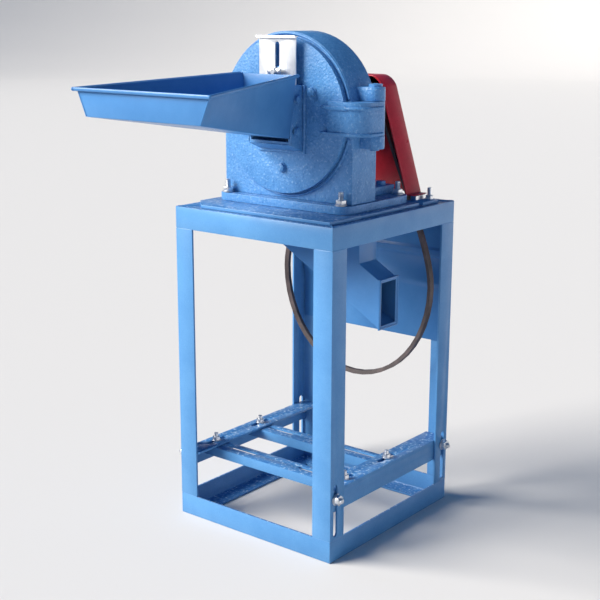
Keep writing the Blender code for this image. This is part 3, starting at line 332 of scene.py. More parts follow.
def metalOf(name, look):
    # bare metal: fine lay of the tool, cloudy colour and roughness
    material, surface = newMaterial(name, {"Metallic": 1.0})
    tree = material.node_tree
    place = addNode(material, "TexCoord").outputs["Object"]
    stretch = addNode(material, "Mapping", {"Scale": look["lay"]}, {"Vector": place})
    cloud = addNode(material, "TexNoise", {"Scale": perMetre(look["cloud"]), "Detail": 4},
                    {"Vector": place})
    lines = addNode(material, "TexNoise", {"Scale": perMetre(look["line"]), "Detail": 2},
                    {"Vector": stretch.outputs[0]})
    mix = addNode(material, "MapRange", {"From Min": 0.34, "From Max": 0.66,
                                         "To Min": 0, "To Max": 1},
                  {"Value": cloud.outputs["Fac"]})
    colour = addNode(material, "Mix", {mixFirst: toLinear(look["tone"]),
                                       mixSecond: toLinear(look["second"])},
                     {mixAmount: mix.outputs[0]}, data_type="RGBA")
    tree.links.new(colour.outputs[mixResult], surface.inputs["Base Color"])
    rough = addNode(material, "MapRange", {"From Min": 0.3, "From Max": 0.7,
                                           "To Min": look["rough"][0],
                                           "To Max": look["rough"][1]},
                    {"Value": lines.outputs["Fac"]})
    tree.links.new(rough.outputs[0], surface.inputs["Roughness"])
    relief = addNode(material, "Bump", {"Strength": 0.35, "Distance": look["relief"] * mm},
                     {"Height": lines.outputs["Fac"]})
    tree.links.new(relief.outputs[0], surface.inputs["Normal"])
    return material


# bright electroplated zinc on cold-rolled steel: pale, slightly cloudy
brightZinc = metalOf("brightZincPlatedSteel", {
    "tone": "#E2E5EA", "second": "#C6CCD4", "cloud": 9, "line": 1.2, "lay": (1, 1, 1),
    "rough": (0.26, 0.42), "relief": 0.05})
# sheet with the long grain of the rolls under its zinc
zincSheet = metalOf("zincPlatedRolledSheet", {
    "tone": "#EEF1F5", "second": "#DADFE6", "cloud": 22, "line": 1.6, "lay": (1, 1, 0.08),
    "rough": (0.38, 0.5), "relief": 0.03})
# steel turned on the lathe, fine rings round the shaft
turnedSteel = metalOf("turnedCarbonSteel", {
    "tone": "#B4B6B8", "second": "#9C9EA0", "cloud": 20, "line": 0.9, "lay": (0.2, 1, 0.2),
    "rough": (0.24, 0.4), "relief": 0.05})
# hammers and discs of manganese steel, dark from heat treatment and polished by grain
hardSteel = metalOf("heatTreatedManganeseSteel", {
    "tone": "#6E6A66", "second": "#8C8A88", "cloud": 14, "line": 1.4, "lay": (1, 1, 1),
    "rough": (0.34, 0.55), "relief": 0.12})
# through-hardened chromium steel of the bearings, ground
groundSteel = metalOf("groundBearingSteel", {
    "tone": "#CFD1D3", "second": "#BFC1C4", "cloud": 18, "line": 0.8, "lay": (1, 0.1, 1),
    "rough": (0.12, 0.22), "relief": 0.02})
# bare grey cast iron, machined in the groove
greyIron = metalOf("machinedGreyCastIron", {
    "tone": "#5B5C5E", "second": "#707173", "cloud": 8, "line": 1.8, "lay": (1, 1, 1),
    "rough": (0.42, 0.62), "relief": 0.15})


def beltRubber(look):
    # moulded chloroprene wrapped in fabric: dark brown-black, dull, dusty
    material, surface = newMaterial("fabricWrappedRubber", {"IOR": 1.52})
    tree = material.node_tree
    place = addNode(material, "TexCoord").outputs["Object"]
    dust = addNode(material, "TexNoise", {"Scale": perMetre(look["patch"]), "Detail": 5},
                   {"Vector": place})
    threads = addNode(material, "TexVoronoi", {"Scale": perMetre(look["thread"])},
                      {"Vector": place})
    amount = addNode(material, "MapRange", {"From Min": 0.4, "From Max": 0.7,
                                            "To Min": 0, "To Max": 1},
                     {"Value": dust.outputs["Fac"]})
    colour = addNode(material, "Mix", {mixFirst: toLinear(look["tone"]),
                                       mixSecond: toLinear(look["dust"])},
                     {mixAmount: amount.outputs[0]}, data_type="RGBA")
    tree.links.new(colour.outputs[mixResult], surface.inputs["Base Color"])
    rough = addNode(material, "MapRange", {"To Min": look["rough"][0], "To Max": look["rough"][1]},
                    {"Value": dust.outputs["Fac"]})
    tree.links.new(rough.outputs[0], surface.inputs["Roughness"])
    weave = addNode(material, "Bump", {"Strength": 0.4, "Distance": look["relief"] * mm},
                    {"Height": threads.outputs["Distance"]})
    tree.links.new(weave.outputs[0], surface.inputs["Normal"])
    return material


wrappedRubber = beltRubber({"tone": "#3A3134", "dust": "#5A4E50", "patch": 30, "thread": 1.6,
                            "rough": (0.55, 0.75), "relief": 0.15})
print("finishes made")


cornerCosine = 0.85                 # faces that turn less than about 32 degrees count as flat


def edgeSides(mesh):
    # +1 for an edge on an outside corner, -1 on an inside one; flat edges are left out
    owners = {}
    for face in mesh.polygons:
        for key in face.edge_keys:
            owners.setdefault(key, []).append(face)
    sides = {}
    for edge in mesh.edges:
        faces = owners.get(edge.key, [])
        if len(faces) == 2:
            one, two = faces
            if one.normal.dot(two.normal) < cornerCosine:
                out = (two.center - one.center).dot(one.normal)
                sides[edge.index] = 1 if out < 0 else -1
    return sides


def length(mesh, edge):
    return (mesh.vertices[edge.vertices[0]].co - mesh.vertices[edge.vertices[1]].co).length


def bevelEdges(piece, width, segments, chosen):
    # edit-mode bevel of the edges for which chosen(edge, side) holds
    sides = edgeSides(piece.data)
    editWhere(piece, "EDGE", lambda edge: edge.index in sides
              and chosen(edge, sides[edge.index]))
    bpy.ops.mesh.bevel(offset=width * mm, offset_type="OFFSET", segments=segments,
                       profile=0.5, affect="EDGES", clamp_overlap=True)
    endEdit()


def paintTops(piece, finish, steepness=0.8):
    # the faces that look up get their own finish, whose darker tone is painted shade
    piece.data.materials.append(finish)
    index = len(piece.data.materials) - 1
    for face in piece.data.polygons:
        if face.normal.z > steepness:
            face.material_index = index


# rolled angle: a round root along its long inside corner, its other edges barely rounded
angleIron = {"root": 4.5, "rootSteps": 4, "rootLeast": 60, "edge": 0.7, "edgeSteps": 2,
             "edgeAngle": 50}


def refineAngle(node, body):
    piece = copyOf(node)
    mesh = piece.data
    bevelEdges(piece, angleIron["root"], angleIron["rootSteps"],
               lambda edge, side: side < 0 and length(mesh, edge) > angleIron["rootLeast"] * mm)
    roundEdges(piece, angleIron["edge"], angleIron["edgeSteps"], angleIron["edgeAngle"])
    finishPiece(piece, body, rolledBlue)
    # upper faces get painted shade
    paintTops(piece, upperFaceShadeBlue)


sideNames = ("front", "rear", "left", "right")
standNodes = [f"leg_{y}_{x}" for y in ("front", "rear") for x in ("left", "right")]
standNodes += [f"top_rail_{s}" for s in sideNames] + [f"floor_rail_{s}" for s in sideNames]
for node in standNodes:
    refineAngle(node, "stand")
for side in ("left", "right"):
    refineAngle(f"motor_rail_{side}", "motor_frame")
print("stand refined")

# castings and folded sheet: edge round in mm, its steps, finish, body
refined = {
    "casing": (2.6, 3, castBlue, "stand"),
    "door": (1.5, 3, castBlue, "door"),
    "inlet_neck": (1.8, 3, castBlue, "door"),
    "base_plate": (2.4, 3, castBlue, "stand"),
    "bearing_housing": (1.6, 3, castBlue, "stand"),
    "bearing_cap_front": (0.9, 2, castBlue, "stand"),
    "bearing_cap_rear": (0.8, 2, castBlue, "stand"),
    "outlet_collar": (0.8, 2, sheetBlue, "stand"),
    "outlet_chute": (1.0, 2, sheetBlue, "stand"),
    "rear_panel": (0.6, 2, sheetBlue, "stand"),
    "seat_plate_front": (1.2, 2, rolledBlue, "stand"),
    "seat_plate_rear": (1.2, 2, rolledBlue, "stand"),
    "guard_bracket": (1.0, 2, rolledBlue, "stand"),
    "belt_guard": (0.9, 2, guardRed, "stand"),
    "cross_rail_front": (0.8, 2, rolledBlue, "front_cross_rail"),
    "cross_rail_rear": (0.8, 2, rolledBlue, "rear_cross_rail"),
}
# pieces whose upper faces are given painted shade
paintedShadeTops = ("base_plate", "seat_plate_front", "seat_plate_rear", "cross_rail_front",
               "cross_rail_rear")
castAngle = 42                      # edges that turn more than this are rounded
for node, (width, steps, finish, body) in refined.items():
    # merging its flat faces would close the chute's mouth
    piece = copyOf(node, node != "outlet_chute")
    roundEdges(piece, width, steps, castAngle)
    finishPiece(piece, body, finish)
    if node in paintedShadeTops:
        paintTops(piece, upperFaceShadeBlue)
print("castings and sheet refined")


def zincAbove(name, height, reach):
    # the bolts that stand on a painted piece keep their bare zinc
    piece = bpy.data.objects[name + "Shape"]
    piece.data.materials.append(brightZinc)
    index = len(piece.data.materials) - 1
    for face in piece.data.polygons:
        centre = face.center / mm - shift
        if centre.z > height and abs(centre.x) > reach:
            face.material_index = index


# faces above this height and further than this from the middle belong to bolts
boltsAbove = {"guard_bracket": (607.5, 145), "cross_rail_front": (127.6, 136),
              "cross_rail_rear": (127.6, 136)}
for node, (height, reach) in boltsAbove.items():
    zincAbove(node, height, reach)

# bead rolled round the chute's mouth
low, high = span("outlet_chute")
mouth = {"inset": 1.6, "bead": 2.1, "proud": 0.6, "height": 92}
m = mouth["inset"]
lipY, lipZ = (low.y + m, high.y - m), (low.z + m, low.z + mouth["height"] - m)
corners = [(lipY[0], lipZ[0]), (lipY[1], lipZ[0]), (lipY[1], lipZ[1]), (lipY[0], lipZ[1])]
mouthBead = cordOf("chuteMouthBead", [(high.x - mouth["proud"], y, z) for y, z in corners],
                   mouth["bead"], True, 4)
finishPiece(mouthBead, "stand", sheetBlue)

# nodes kept as they are, with their real finish
kept = {
    "hinge_pin": castBlue, "v_belt": wrappedRubber, "pulley": greyIron,
    "shaft": turnedSteel, "rotor_disc": turnedSteel, "hammer_ring": hardSteel,
    "sieve_ring": hardSteel, "rotor_nut": brightZinc,
    "pulley_nut": brightZinc, "pulley_key": groundSteel, "latch_bolt": brightZinc,
    "latch_nut": hardSteel, "ball_cage_front": groundSteel, "ball_cage_rear": groundSteel,
    "bearing_outer_front": groundSteel, "bearing_outer_rear": groundSteel,
    "bearing_inner_front": groundSteel, "bearing_inner_rear": groundSteel,
}
for node, finish in kept.items():
    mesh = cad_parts[node].data
    mesh.materials.clear()
    mesh.materials.append(finish)
print("kept pieces finished")


# tray of folded sheet; half widths and heights at its two ends, in mm
hopper = {"front": -443, "back": -137.6, "wall": 2, "bead": 3.2, "beadOut": 4.6,
          "frontFoot": (125, 781), "frontTop": (144, 825), "backFoot": (46, 733),
          "backTop": (60, 841), "backGap": 1, "mouth": (39.7, 736, 816.5), "cuts": 11,
          "round": 1.1, "beadDrop": 0.6, "lip": 1.5, "lipThick": 1.6, "lipDrop": 0.4,
          "lipTop": 1.2, "knot": 3.4, "seam": 1.5, "seamIn": 0.4, "seamBack": 0.6,
          "seamShort": 1, "ear": (39.8, 41.7), "earBack": -119, "earRound": 0.6}


def makeHopper(h):
    bpy.ops.object.select_all(action="DESELECT")
    bpy.ops.mesh.primitive_cube_add(size=0.1)
    tray = bpy.context.object
    tray.name = "hopperTray"
    for vert in tray.data.vertices:
        side, depth, height = (1 if c > 0 else -1 for c in vert.co)
        y = h["back"] if depth > 0 else h["front"]
        name = ("back" if depth > 0 else "front") + ("Top" if height > 0 else "Foot")
        vert.co = at(side * h[name][0], y, h[name][1])
    editWhere(tray, "FACE", lambda face: face.normal.z > 0.8)
    bpy.ops.mesh.delete(type="FACE")
    endEdit()
    # the opening into the neck, in the rear wall
    editWhere(tray, "FACE", lambda face: face.normal.y > 0.8)
    bpy.ops.mesh.inset(thickness=8 * mm, depth=0)
    endEdit()
    half, low, high = h["mouth"]
    inner = max((f for f in tray.data.polygons if f.normal.y > 0.8), key=lambda f: f.select)
    for vert in (tray.data.vertices[i] for i in inner.vertices):
        upper = vert.co.z / mm > (low + high) / 2
        vert.co = at(half if vert.co.x > 0 else -half, h["back"], high if upper else low)
    editWhere(tray, "FACE", lambda face: face.index == inner.index)
    bpy.ops.mesh.delete(type="FACE")
    endEdit()
    # the twisted sides bend smoothly between the two ends
    longEdge = 0.1                  # metres, which only the edges from end to end exceed
    verts = tray.data.vertices
    editWhere(tray, "EDGE", lambda edge: abs(verts[edge.vertices[0]].co.y
                                             - verts[edge.vertices[1]].co.y) > longEdge)
    bpy.ops.mesh.subdivide(number_cuts=h["cuts"])
    endEdit()
    activate(tray)
    thick = tray.modifiers.new("sheet", "SOLIDIFY")
    thick.thickness = h["wall"] * mm
    thick.offset = -1
    thick.use_even_offset = True
    bpy.ops.object.modifier_apply(modifier="sheet")
    roundEdges(tray, h["round"], 3, 40)
    out = h["beadOut"]
    rim = [(h["frontTop"][0] + out, h["front"] - out, h["frontTop"][1] - h["beadDrop"]),
           (h["backTop"][0] + out, h["back"] - h["backGap"], h["backTop"][1] - h["beadDrop"])]
    left = [(-x, y, z) for x, y, z in rim]
    bead = cordOf("hopperBead", [rim[1], rim[0], left[0], left[1]], h["bead"], False, 5)
    parts = [tray, bead]
    # the strip that joins the wall's edge to the rolled bead
    for name, a, b in (("right", rim[0], rim[1]), ("left", left[1], left[0])):
        s = 1 if name == "right" else -1
        strip = plate("hopperLip", [(a[0], a[1]), (b[0], b[1]),
                                    (b[0] - s * (out + h["lip"]), b[1]),
                                    (a[0] - s * (out + h["lip"]), a[1])], "Z", 0, h["lipThick"])
        for vert in strip.data.vertices:
            reach = (vert.co.y / mm - shift.y - h["front"]) / (h["back"] - h["front"])
            level = (1 - reach) * h["frontTop"][1] + reach * h["backTop"][1] - h["lipDrop"]
            vert.co.z += level * mm
        parts.append(strip)
    front = box("hopperLip", (-h["frontTop"][0] - out, h["frontTop"][0] + out),
                (h["front"] - out, h["front"] + h["lip"]),
                (h["frontTop"][1] - h["lipDrop"], h["frontTop"][1] + h["lipTop"]))
    parts.append(front)
    # weld knots where the bead turns at the front corners
    for x, y, z in (rim[0], left[0]):
        bpy.ops.object.select_all(action="DESELECT")
        bpy.ops.mesh.primitive_uv_sphere_add(segments=16, ring_count=10, radius=h["knot"] * mm,
                                             location=at(x, y, z))
        knot = bpy.context.object
        settle(knot)
        parts.append(knot)
    # folded seams down the two front corners
    for s in (1, -1):
        foot, top, y = h["frontFoot"], h["frontTop"], h["front"] + h["seamBack"]
        parts.append(cordOf("hopperSeam",
                            [(s * (foot[0] - h["seamIn"]), y, foot[1] + h["seamShort"]),
                             (s * (top[0] - h["seamIn"]), y, top[1] - h["seamShort"])],
                            h["seam"], False, 2))
        # ears inside the neck
        ear = box("hopperEar", sorted(s * x for x in h["ear"]),
                  (h["back"] - h["backGap"], h["earBack"]), (h["mouth"][1], h["mouth"][2]))
        roundEdges(ear, h["earRound"], 2)
        parts.append(ear)
    shell = joined("hopperShell", parts)
    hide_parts("hopper")
    finishPiece(shell, "door", sheetBlue, 44)


makeHopper(hopper)
print("hopper made")


# a head's turn in degrees and its edges' round as a share of its size; the rest is in mm
hexHead = {"turn": 15, "round": 0.09}
threadForm = {"core": 0.5, "depth": 0.55, "tipLength": 0.9, "tipStep": 0.3, "tip": 1.2}
washerForm = {"edge": 0.35, "chamfer": 0.4}
# washer's radius as a share of the head's, its thickness, clearances and the nut's overlap
stackForm = {"washer": 1.24, "thick": 1.8, "shank": 0.1, "bore": 0.2, "overlap": 0.5}


def hexagon(name, axis, centre, flats, start, end):
    # a head or nut; flats is half its width across the flats
    radius = flats / math.cos(math.pi / 6)
    turns = [math.radians(60 * i + hexHead["turn"]) for i in range(6)]
    corners = [(centre[0] + radius * math.cos(t), centre[1] + radius * math.sin(t))
               for t in turns]
    piece = plate(name, corners, axis, start, end)
    roundEdges(piece, flats * hexHead["round"], 2, 40)
    return piece


def thread(name, axis, centre, radius, start, end, pitch=1.5):
    # rings at the thread's pitch, with a chamfered tip
    way = 1 if end > start else -1
    turns = max(1, int(abs(end - start) / pitch) - 1)
    profile = [(0, start), (radius - threadForm["core"], start)]
    for i in range(turns):
        profile += [(radius, start + way * pitch * (i + 0.5)),
                    (radius - threadForm["depth"], start + way * pitch * (i + 1))]
    profile += [(radius - threadForm["tipStep"], end - way * threadForm["tipLength"]),
                (radius - threadForm["tip"], end), (0, end)]
    return turned(name, profile, axis, centre, 24)


def washer(name, axis, centre, radius, bore, start, end):
    edge = washerForm["edge"] if end > start else -washerForm["edge"]
    rim = radius - washerForm["chamfer"]
    return turned(name, [(bore, start), (rim, start), (radius, start + edge),
                         (radius, end - edge), (rim, end), (bore, end)],
                  axis, centre, 32)


def boltStack(name, axis, centre, flats, radius, stations):
    # head, shank, washer, nut and thread; stations are where each begins along the axis
    head, under, seat, nutTop, tip = stations
    way = 1 if tip > head else -1
    shank, nutFoot = radius - stackForm["shank"], seat + way * stackForm["thick"]
    parts = [hexagon(name, axis, centre, flats, head, under),
             turned(name, [(0, under), (shank, under), (shank, seat), (0, seat)],
                    axis, centre, 24),
             washer(name, axis, centre, flats * stackForm["washer"],
                    radius - stackForm["bore"], seat, nutFoot),
             hexagon(name, axis, centre, flats, nutFoot, nutTop),
             thread(name, axis, centre, radius, nutTop - way * stackForm["overlap"], tip)]
    return joined(name, parts)


def copyBeside(piece, name, offset):
    other = bpy.data.objects.new(name, piece.data.copy())
    bpy.context.scene.collection.objects.link(other)
    editAll(other)
    bpy.ops.transform.translate(value=Vector(offset) * mm)
    endEdit()
    return other


bedBolt = {"stations": (593.6, 600, 621.4, 631.2, 645.2), "flats": 8.5, "radius": 5}
low, high = span("bed_bolt_1")
first = ((low.x + high.x) / 2, (low.y + high.y) / 2)
master = boltStack("bedBolt1", "Z", first, bedBolt["flats"], bedBolt["radius"],
                   bedBolt["stations"])
bolts = [master]
for i in range(2, 5):
    low, high = span(f"bed_bolt_{i}")
    place = ((low.x + high.x) / 2, (low.y + high.y) / 2)
    bolts.append(copyBeside(master, f"bedBolt{i}", (place[0] - first[0], place[1] - first[1], 0)))
for i, bolt in enumerate(bolts, 1):
    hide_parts(f"bed_bolt_{i}")
    finishPiece(bolt, "stand", brightZinc)

railBolt = {"stations": (165.1, 171.4, 180.4, 190.4, 195.9), "flats": 8.5, "radius": 5}
for i in range(1, 5):
    low, high = span(f"motor_rail_bolt_{i}")
    side = 1 if low.x > 0 else -1
    centre = ((low.y + high.y) / 2, (low.z + high.z) / 2)
    bolt = boltStack(f"railBolt{i}", "X", centre, railBolt["flats"], railBolt["radius"],
                     [side * station for station in railBolt["stations"]])
    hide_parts(f"motor_rail_bolt_{i}")
    finishPiece(bolt, "motor_frame", brightZinc)
print("fasteners made")


def arcPoints(centre, radius, start, end, steps):
    return [(centre[0] + radius * math.cos(math.radians(start + (end - start) * i / steps)),
             centre[1] + radius * math.sin(math.radians(start + (end - start) * i / steps)))
            for i in range(steps + 1)]


axisZ = 768                         # height of the shaft
# raised bead cast round the casing's front, broken where the hinge strap passes
casingRing = {"radius": 141.6, "bead": 2.4, "face": -90.4, "gap": (-14, 14),
              "steps": 120}
ring = cordOf("casingRing", [(x, casingRing["face"], z) for x, z in
                             arcPoints((0, axisZ), casingRing["radius"], casingRing["gap"][1],
                                       360 + casingRing["gap"][0], casingRing["steps"])],
              casingRing["bead"], False, 3)
finishPiece(ring, "stand", castBlue)

# rounded caps over the casing's two hinge ears, and the pin's small domed head
ear = {"centre": (164, -52), "radius": 16.9, "reach": 132, "round": 4.5, "edge": 0.6,
       "steps": 20, "upper": (798.7, 822.4), "lower": (717.2, 739.7)}
pinHead = [(0, 828.2), (4, 827.9), (8, 826.6), (10.4, 824.2), (10.8, 822.5), (0, 822.5)]
sameHeight = 0.1
for name in ("upper", "lower"):
    plan = arcPoints(ear["centre"], ear["radius"], -90, 90, ear["steps"])
    plan += [(ear["reach"], ear["centre"][1] + ear["radius"]),
             (ear["reach"], ear["centre"][1] - ear["radius"])]
    low, high = ear[name]
    lobe = plate(name + "Ear", plan, "Z", low, high)
    # only the free side is round: the other lies against the strap's knuckle
    free = high if name == "upper" else low
    bevelEdges(lobe, ear["round"], 5, lambda edge, side: all(
        abs(lobe.data.vertices[i].co.z / mm - free) < sameHeight for i in edge.vertices))
    roundEdges(lobe, ear["edge"], 2, 50)
    finishPiece(lobe, "stand", castBlue, 45)
dome = turned("hingePinHead", pinHead, "Z", ear["centre"], 32)
finishPiece(dome, "stand", castBlue, 60)

# flange cast round three sides of the neck's foot, with a fillet along its outer edge
neckFoot = {"half": 53, "low": 704, "high": 823, "front": -106, "back": -102.1,
            "inside": 47.8, "opening": 709, "round": 1.6, "fillet": 1.5, "filletAt": -102.6}
half, low, high = neckFoot["half"], neckFoot["low"], neckFoot["high"]
inside, opening, filletY = neckFoot["inside"], neckFoot["opening"], neckFoot["filletAt"]
flange = plate("neckFlange", [(-half, low), (half, low), (half, high), (inside, high),
                              (inside, opening), (-inside, opening), (-inside, high),
                              (-half, high)], "Y", neckFoot["back"], neckFoot["front"])
roundEdges(flange, neckFoot["round"], 3, 40)
fillet = cordOf("neckFillet", [(half - 1, filletY, high - 2), (half - 1, filletY, low + 1),
                               (1 - half, filletY, low + 1), (1 - half, filletY, high - 2)],
                neckFoot["fillet"], False, 3)
neckFlange = joined("neckFlange", [flange, fillet])
finishPiece(neckFlange, "door", castBlue)

# rounded rim on three sides of the neck's mouth, and two bolt heads on each side of it
neckRim = {"front": -136.2, "half": 47.2, "low": 721.6, "high": 822.2, "bead": 1.9}
corners = [(neckRim["half"], neckRim["high"]), (neckRim["half"], neckRim["low"]),
           (-neckRim["half"], neckRim["low"]), (-neckRim["half"], neckRim["high"])]
rimBead = cordOf("neckRim", [(x, neckRim["front"], z) for x, z in corners],
                 neckRim["bead"], False, 3)
finishPiece(rimBead, "door", castBlue)
neckBolt = {"y": -122, "heights": (745, 799), "washer": (8.4, 1), "washerAt": (48.2, 49.7),
            "head": 6.5, "headAt": (49.6, 54.6)}
neckBolts = []
for side in (1, -1):
    washerAt = [side * x for x in neckBolt["washerAt"]]
    headAt = [side * x for x in neckBolt["headAt"]]
    for z in neckBolt["heights"]:
        place = (neckBolt["y"], z)
        neckBolts.append(washer("neckBolt", "X", place, *neckBolt["washer"], *washerAt))
        neckBolts.append(hexagon("neckBolt", "X", place, neckBolt["head"], *headAt))
neckBolts = joined("neckBolts", neckBolts)
finishPiece(neckBolts, "door", castBlue)

# hexagon heads and washers of the three door bolts
doorBolt = {"places": ((67, 812), (-67, 812), (0, 677)), "washer": (9.2, 1),
            "washerAt": (-102.2, -103.6), "head": 6.9, "headAt": (-103.5, -108.4)}
doorBolts = []
for place in doorBolt["places"]:
    doorBolts.append(washer("doorBolt", "Y", place, *doorBolt["washer"],
                            *doorBolt["washerAt"]))
    doorBolts.append(hexagon("doorBolt", "Y", place, doorBolt["head"], *doorBolt["headAt"]))
doorBolts = joined("doorBolts", doorBolts)
finishPiece(doorBolts, "door", castBlue)

# two half-round ribs run from the door over the strap and round the knuckle
strapRib = {"heights": (744, 788), "bead": 3.0, "bend": 33.2, "bendCentre": (147.5, -80),
            "rise": ((84, -99.6), (92, -102.2), (101, -108.5), (110, -112.9)),
            "end": ((180.7, -66), (180.4, -54))}
for i, z in enumerate(strapRib["heights"], 1):
    bend = arcPoints(strapRib["bendCentre"], strapRib["bend"], -90, 0, 10)
    path = [(x, y, z) for x, y in (*strapRib["rise"], *bend, *strapRib["end"])]
    rib = cordOf(f"strapRib{i}", path, strapRib["bead"], False, 4)
    finishPiece(rib, "door", castBlue)

# fixed disc: its bolt heads stand on the door and are painted with it
disc = copyOf("fixed_disc")
roundEdges(disc, 0.5, 2, castAngle)
finishPiece(disc, "door", hardSteel)
disc.data.materials.append(castBlue)
boltFace = -101.8                   # only the bolt heads lie in front of this
for face in disc.data.polygons:
    if face.center.y / mm - shift.y < boltFace:
        face.material_index = 1

# slide gate: zinc sheet with its top folded over into a grip
gate = copyOf("slide_gate")
roundEdges(gate, 0.5, 2, castAngle)
gateGrip = {"box": ((-44.5, 44.5), (-121.5, -113), (903.6, 905.9)), "round": 0.9,
            "hem": 1.3, "hemHalf": 43.5, "hemAt": (-120.4, 902.6)}
grip = box("gateGrip", *gateGrip["box"])
roundEdges(grip, gateGrip["round"], 3)
hem = cordOf("gateGrip", [(x, *gateGrip["hemAt"]) for x in (-gateGrip["hemHalf"],
                                                            gateGrip["hemHalf"])],
             gateGrip["hem"], False, 3)
gatePiece = joined("slideGateSheet", [gate, grip, hem])
finishPiece(gatePiece, "gate", zincSheet)

# wing screw: hub and two rounded wings in one casting
wingScrew = {"z": 845, "wing": (7.2, 2.6, 6.2), "out": 9.2, "wingY": -124, "wingUp": 0.5,
             "hub": [(0, -129), (5.2, -129), (6.2, -127.5), (7.4, -117), (7.4, -115.9),
                     (0, -115.9)],
             "voxel": 0.55, "stem": 3.4, "stemEnds": (-116.2, -90.6), "pitch": 1.25}
hub = turned("wingScrewHead", wingScrew["hub"], "Y", (0, wingScrew["z"]), 28)
wings = [hub]
for s in (1, -1):
    bpy.ops.object.select_all(action="DESELECT")
    bpy.ops.mesh.primitive_uv_sphere_add(segments=24, ring_count=14, radius=mm,
                                         location=at(s * wingScrew["out"],
                                                     wingScrew["wingY"],
                                                     wingScrew["z"] + wingScrew["wingUp"]))
    wing = bpy.context.object
    wing.scale = wingScrew["wing"]
    settle(wing)
    wings.append(wing)
head = joined("wingScrewHead", wings)
activate(head)
melt = head.modifiers.new("melt", "REMESH")
melt.mode = "VOXEL"
melt.voxel_size = wingScrew["voxel"] * mm
bpy.ops.object.modifier_apply(modifier="melt")
soft = head.modifiers.new("soft", "SMOOTH")
soft.iterations = 4
bpy.ops.object.modifier_apply(modifier="soft")
stem = thread("wingScrewStem", "Y", (0, wingScrew["z"]), wingScrew["stem"],
              *wingScrew["stemEnds"], wingScrew["pitch"])
screw = joined("wingScrew", [head, stem])
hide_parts("gate_screw")
finishPiece(screw, "gate_screw", brightZinc, 60)
print("head details made")


# lip rolled round the edge of the guard that faces the mill
guardLip = {"top": (64, 832), "foot": (131, 615), "front": 101, "round": 24, "steps": 8,
            "bead": 1.6, "pull": 0.98, "proud": 0.6, "drop": 1.2, "footUp": 3}
(topX, topZ), (footX, footZ) = guardLip["top"], guardLip["foot"]
slope = math.atan2(footX - topX, topZ - footZ)
# the round corner lies inside the meeting of the slanting side and the flat top
inset = guardLip["round"] * math.tan((math.pi / 2 - slope) / 2)
centreX = topX - inset * guardLip["pull"]
centreZ = topZ - guardLip["round"]
corner = [(centreX + guardLip["round"] * math.sin(a), centreZ + guardLip["round"] * math.cos(a))
          for a in [i * (math.pi / 2 - slope) / guardLip["steps"]
                    for i in range(guardLip["steps"] + 1)]]
lipY, drop = guardLip["front"] + guardLip["proud"], guardLip["drop"]
rightSide = [(x, lipY, z - drop) for x, z in corner]
rightSide.append((footX - drop, lipY, footZ + guardLip["footUp"]))
leftSide = [(-x, y, z) for x, y, z in reversed(rightSide)]
lip = cordOf("guardLip", leftSide + rightSide, guardLip["bead"], False, 3)
finishPiece(lip, "stand", guardRed)
print("guard lip made")


# ripples of a weld: length, least width, added width, and the taper of its two ends
ripple = {"step": 3.0, "least": 0.86, "swell": 0.22, "endLeast": 0.35, "endLength": 4}


def weld(name, start, end, radius):
    # a row of overlapping ripples along the joint
    step = ripple["step"]
    start, end = Vector(start), Vector(end)
    count = max(2, int((end - start).length / step))
    points = [start + (end - start) * i / (count * 2) for i in range(count * 2 + 1)]
    bead = cordOf(name, [tuple(p) for p in points], radius, False, 2)
    along = (end - start).normalized()
    middle = (start + end) / 2
    for vert in bead.data.vertices:
        place = vert.co / mm - shift
        reach = (place - start).dot(along)
        core = start + along * reach
        swell = ripple["least"] + ripple["swell"] * abs(math.sin(math.pi * reach / step))
        fromEnd = min(reach, (end - start).length - reach)
        ends = min(1, max(ripple["endLeast"], fromEnd / ripple["endLength"]))
        vert.co = (core + (place - core) * swell * ends + shift) * mm
    return bead


# the welds of one corner of the stand, mirrored to the other three: two ends and a radius
cornerWelds = [((179.4, 189.4, 600.0), (142, 152, 600.0), 1.5),
               ((175, 149, 562), (175, 149, 596), 2.2),
               ((139, 185, 562), (139, 185, 596), 2.2)]
for z in (40.4, 559.7):
    cornerWelds += [((141, 189.2, z), (178.5, 189.2, z), 0.9),
                    ((179.6, 151, z), (179.6, 187.5, z), 0.9)]
beads = []
for x in (1, -1):
    for y in (1, -1):
        for start, end, radius in cornerWelds:
            beads.append(weld("cornerWeld", (x * start[0], y * start[1], start[2]),
                              (x * end[0], y * end[1], end[2]), radius))
welds = joined("standWelds", beads)
finishPiece(welds, "stand", rolledBlue)
print("welds made")


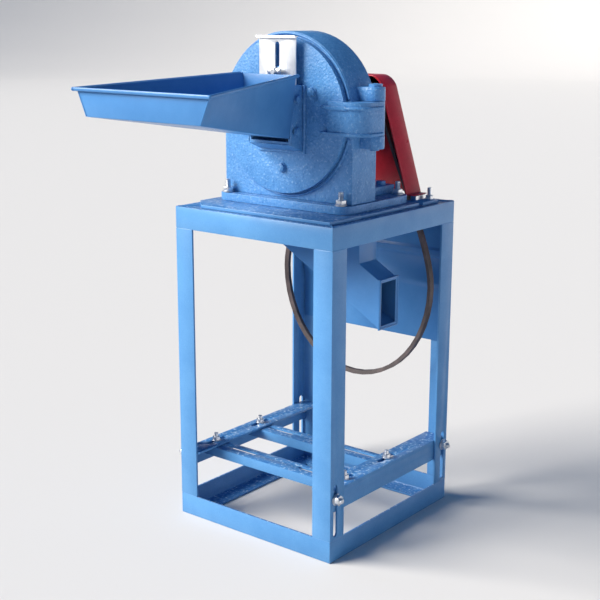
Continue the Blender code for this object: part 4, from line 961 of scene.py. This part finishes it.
# a pale paper floor that curves up far behind, all round; sizes in metres
cove = {"radius": 16, "rise": 5.0, "steps": 8, "sides": 96, "below": 0.0006, "ring": 0.5,
        "tone": "#DBD9D8"}
bpy.ops.object.select_all(action="DESELECT")
bpy.ops.mesh.primitive_circle_add(vertices=cove["sides"], radius=cove["radius"],
                                  fill_type="NGON", location=(0, 0, -cove["below"]))
floor = bpy.context.object
floor.name = "studioFloor"
settle(floor)
editAll(floor)
bpy.ops.mesh.inset(thickness=cove["ring"], depth=0)
endEdit()
outermost = cove["radius"] - 0.1
editWhere(floor, "EDGE", lambda edge: all(floor.data.vertices[i].co.length > outermost
                                          for i in edge.vertices))
for step in range(cove["steps"]):
    bend = (step + 0.5) / cove["steps"] * math.pi / 2
    reach = cove["rise"] * math.pi / 2 / cove["steps"]
    bpy.ops.mesh.extrude_region_move(
        TRANSFORM_OT_translate={"value": (0, 0, reach * math.sin(bend))})
    grow = 1 + reach * math.cos(bend) / (cove["radius"] + cove["rise"] * math.sin(bend))
    bpy.ops.transform.resize(value=(grow, grow, 1))
endEdit()
floorPaper = newMaterial("mattFloorPaper", {
    "Base Color": toLinear(cove["tone"]), "Roughness": 0.95, "Specular IOR Level": 0.1})[0]
floor.data.materials.append(floorPaper)
smooth(floor, 60)

lighting = {
    "key": {"energy": 7.2, "colour": (1.0, 0.95, 0.86), "turn": (60, 0, -44), "angle": 42},
    "room": {"colour": (0.10, 0.42, 1.0), "strength": 0.22},
}
room = bpy.data.worlds.new("room")
bpy.context.scene.world = room
room.use_nodes = True
background = room.node_tree.nodes["Background"]
background.inputs["Color"].default_value = (*lighting["room"]["colour"], 1)
background.inputs["Strength"].default_value = lighting["room"]["strength"]

key = bpy.data.objects.new("keyLight", bpy.data.lights.new("keyLight", "SUN"))
bpy.context.scene.collection.objects.link(key)
key.data.energy = lighting["key"]["energy"]
key.data.color = lighting["key"]["colour"]
key.data.angle = math.radians(lighting["key"]["angle"])
key.rotation_euler = [math.radians(a) for a in lighting["key"]["turn"]]
bpy.context.scene.view_settings.view_transform = "Standard"

# the view: a long lens, 39 degrees round from the front and 14 degrees above
view = {"lens": 70.65, "sensor": 36, "turn": 38.576, "rise": 13.709, "roll": 0.16,
        "place": (1.3263, -1.5828, 0.9436)}
camera = bpy.data.objects.new("camera", bpy.data.cameras.new("camera"))
bpy.context.scene.collection.objects.link(camera)
bpy.context.scene.camera = camera
camera.data.lens = view["lens"]
camera.data.sensor_width = view["sensor"]
turn, rise, roll = (math.radians(view[k]) for k in ("turn", "rise", "roll"))
back = Vector((math.sin(turn) * math.cos(rise), -math.cos(turn) * math.cos(rise),
               math.sin(rise)))
right = Vector((0, 0, 1)).cross(back).normalized()
up = back.cross(right)
rolledRight = right * math.cos(roll) + up * math.sin(roll)
rolledUp = up * math.cos(roll) - right * math.sin(roll)
pose = Matrix((rolledRight, rolledUp, back)).transposed().to_4x4()
pose.translation = Vector(view["place"])
camera.matrix_world = pose
print("floor, light and camera set")
